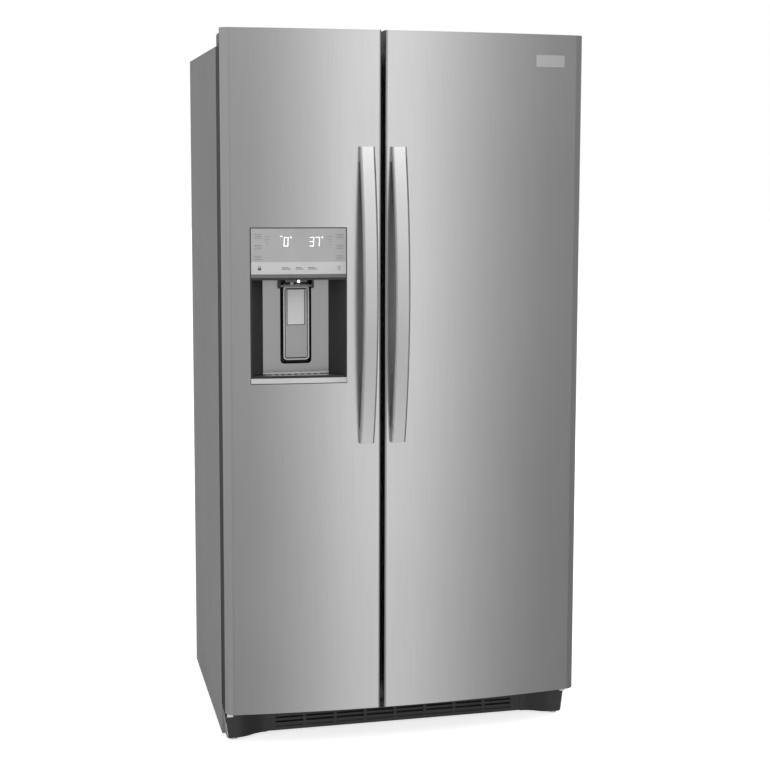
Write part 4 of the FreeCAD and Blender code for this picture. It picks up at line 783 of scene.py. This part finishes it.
def glow(nodes, links, heading, azimuth, reach, strength):
    """Light that falls off with the cube of the nearness to the glow's middle."""
    toward = nodes.new("ShaderNodeVectorMath")
    toward.operation = "DOT_PRODUCT"
    middle = math.radians(azimuth)
    toward.inputs[1].default_value = (math.sin(middle), -math.cos(middle), 0)
    links.new(heading, toward.inputs[0])
    angle = nodes.new("ShaderNodeMath")
    angle.operation = "ARCCOSINE"
    links.new(toward.outputs["Value"], angle.inputs[0])
    near = from_range(nodes, links, angle.outputs["Value"], 0.0, math.radians(reach), 1.0, 0.0)
    square = combine(nodes, links, "MULTIPLY", near, near)
    cube = combine(nodes, links, "MULTIPLY", square, near)
    return from_range(nodes, links, cube, 0.0, 1.0, 0.0, strength)


def from_range(nodes, links, value, low, high, to_low, to_high):
    """Maps low..high to to_low..to_high, and holds both ends."""
    node = nodes.new("ShaderNodeMapRange")
    node.inputs["From Min"].default_value = low
    node.inputs["From Max"].default_value = high
    node.inputs["To Min"].default_value = to_low
    node.inputs["To Max"].default_value = to_high
    links.new(value, node.inputs["Value"])
    return node.outputs["Result"]


def axis_of(nodes, links, vector, axis):
    """One component of a vector."""
    node = nodes.new("ShaderNodeSeparateXYZ")
    links.new(vector, node.inputs["Vector"])
    return node.outputs[axis]


def combine(nodes, links, operation, first, second):
    """The result of a Math node on two values."""
    node = nodes.new("ShaderNodeMath")
    node.operation = operation
    links.new(first, node.inputs[0])
    links.new(second, node.inputs[1])
    return node.outputs["Value"]


def camera_share(nodes, links, others, seen):
    """One shader for what the camera sees directly and another for light and reflections."""
    rays = nodes.new("ShaderNodeLightPath")
    mix = nodes.new("ShaderNodeMixShader")
    links.new(rays.outputs["Is Camera Ray"], mix.inputs["Fac"])
    links.new(others, mix.inputs[1])
    links.new(seen, mix.inputs[2])
    return mix.outputs["Shader"]


def backdrop():
    """White to the camera, a soft grey room to the object."""
    world = bpy.data.worlds.new("world")
    bpy.context.scene.world = world
    world.use_nodes = True
    nodes, links = world.node_tree.nodes, world.node_tree.links
    nodes.clear()
    seen = nodes.new("ShaderNodeBackground")
    seen.inputs["Color"].default_value = (1, 1, 1, 1)
    room = nodes.new("ShaderNodeBackground")
    room.inputs["Color"].default_value = (1, 1, 1, 1)
    links.new(room_light(nodes, links), room.inputs["Strength"])
    out = nodes.new("ShaderNodeOutputWorld")
    shade = camera_share(nodes, links, room.outputs["Background"], seen.outputs["Background"])
    links.new(shade, out.inputs["Surface"])


def pale_floor():
    """A pale floor with a glow for the camera only, so that it looks white; reflections don't show it."""
    size = 30.0
    mesh = bpy.data.meshes.new("floor")
    corners = [(-size, -size, 0), (size, -size, 0), (size, size, 0), (-size, size, 0)]
    mesh.from_pydata(corners, [], [(0, 1, 2, 3)])
    floor = bpy.data.objects.new("floor", mesh)
    bpy.context.scene.collection.objects.link(floor)
    floor.visible_glossy = False
    paint = bpy.data.materials.new("floor")
    paint.use_nodes = True
    nodes, links = paint.node_tree.nodes, paint.node_tree.links
    bsdf = nodes["Principled BSDF"]
    bsdf.inputs["Base Color"].default_value = (0.8, 0.8, 0.8, 1)
    bsdf.inputs["Roughness"].default_value = 0.9
    bsdf.inputs["Specular IOR Level"].default_value = 0.0
    lit = nodes.new("ShaderNodeEmission")
    lit.inputs["Strength"].default_value = FLOOR_GLOW
    none = nodes.new("ShaderNodeEmission")
    none.inputs["Strength"].default_value = 0.0
    add = nodes.new("ShaderNodeAddShader")
    shade = camera_share(nodes, links, none.outputs["Emission"], lit.outputs["Emission"])
    links.new(bsdf.outputs["BSDF"], add.inputs[0])
    links.new(shade, add.inputs[1])
    links.new(add.outputs["Shader"], nodes["Material Output"].inputs["Surface"])
    mesh.materials.append(paint)


def studio():
    """White backdrop and floor, with colours shown as they are."""
    bpy.context.scene.view_settings.view_transform = "Standard"
    backdrop()
    pale_floor()


def lamp(name, place, aim, width, height, power, mirrored=False):
    """A soft rectangular light aimed at a point; a mirrored one also shows in glossy surfaces."""
    data = bpy.data.lights.new(name, "AREA")
    data.shape = "RECTANGLE"
    data.size = width
    data.size_y = height
    data.energy = power
    obj = bpy.data.objects.new(name, data)
    obj.location = place
    obj.rotation_euler = (Vector(aim) - Vector(place)).to_track_quat("-Z", "Y").to_euler()
    bpy.context.scene.collection.objects.link(obj)
    obj.visible_camera = False
    obj.visible_glossy = mirrored


def lights():
    """A key light from the front and above, and three fills that glossy surfaces don't show."""
    lamp("key", (1.5, -2.6, 4.6), (0, 0, 0.9), 2.2, 2.2, 40, mirrored=True)
    lamp("back_fill", (2.6, 3.8, 2.4), (0, 0.4, 0.9), 2.5, 2.5, 45)
    lamp("left_fill", (-4.5, -0.4, 1.8), (0, 0, 0.9), 2.5, 2.5, 14)
    lamp("right_fill", (4.5, 0.3, 2.2), (0, 0, 0.9), 2.5, 2.5, 20)


camera()
studio()
lights()
dress_cad_nodes()
dispenser()
inside()
grille_slats()
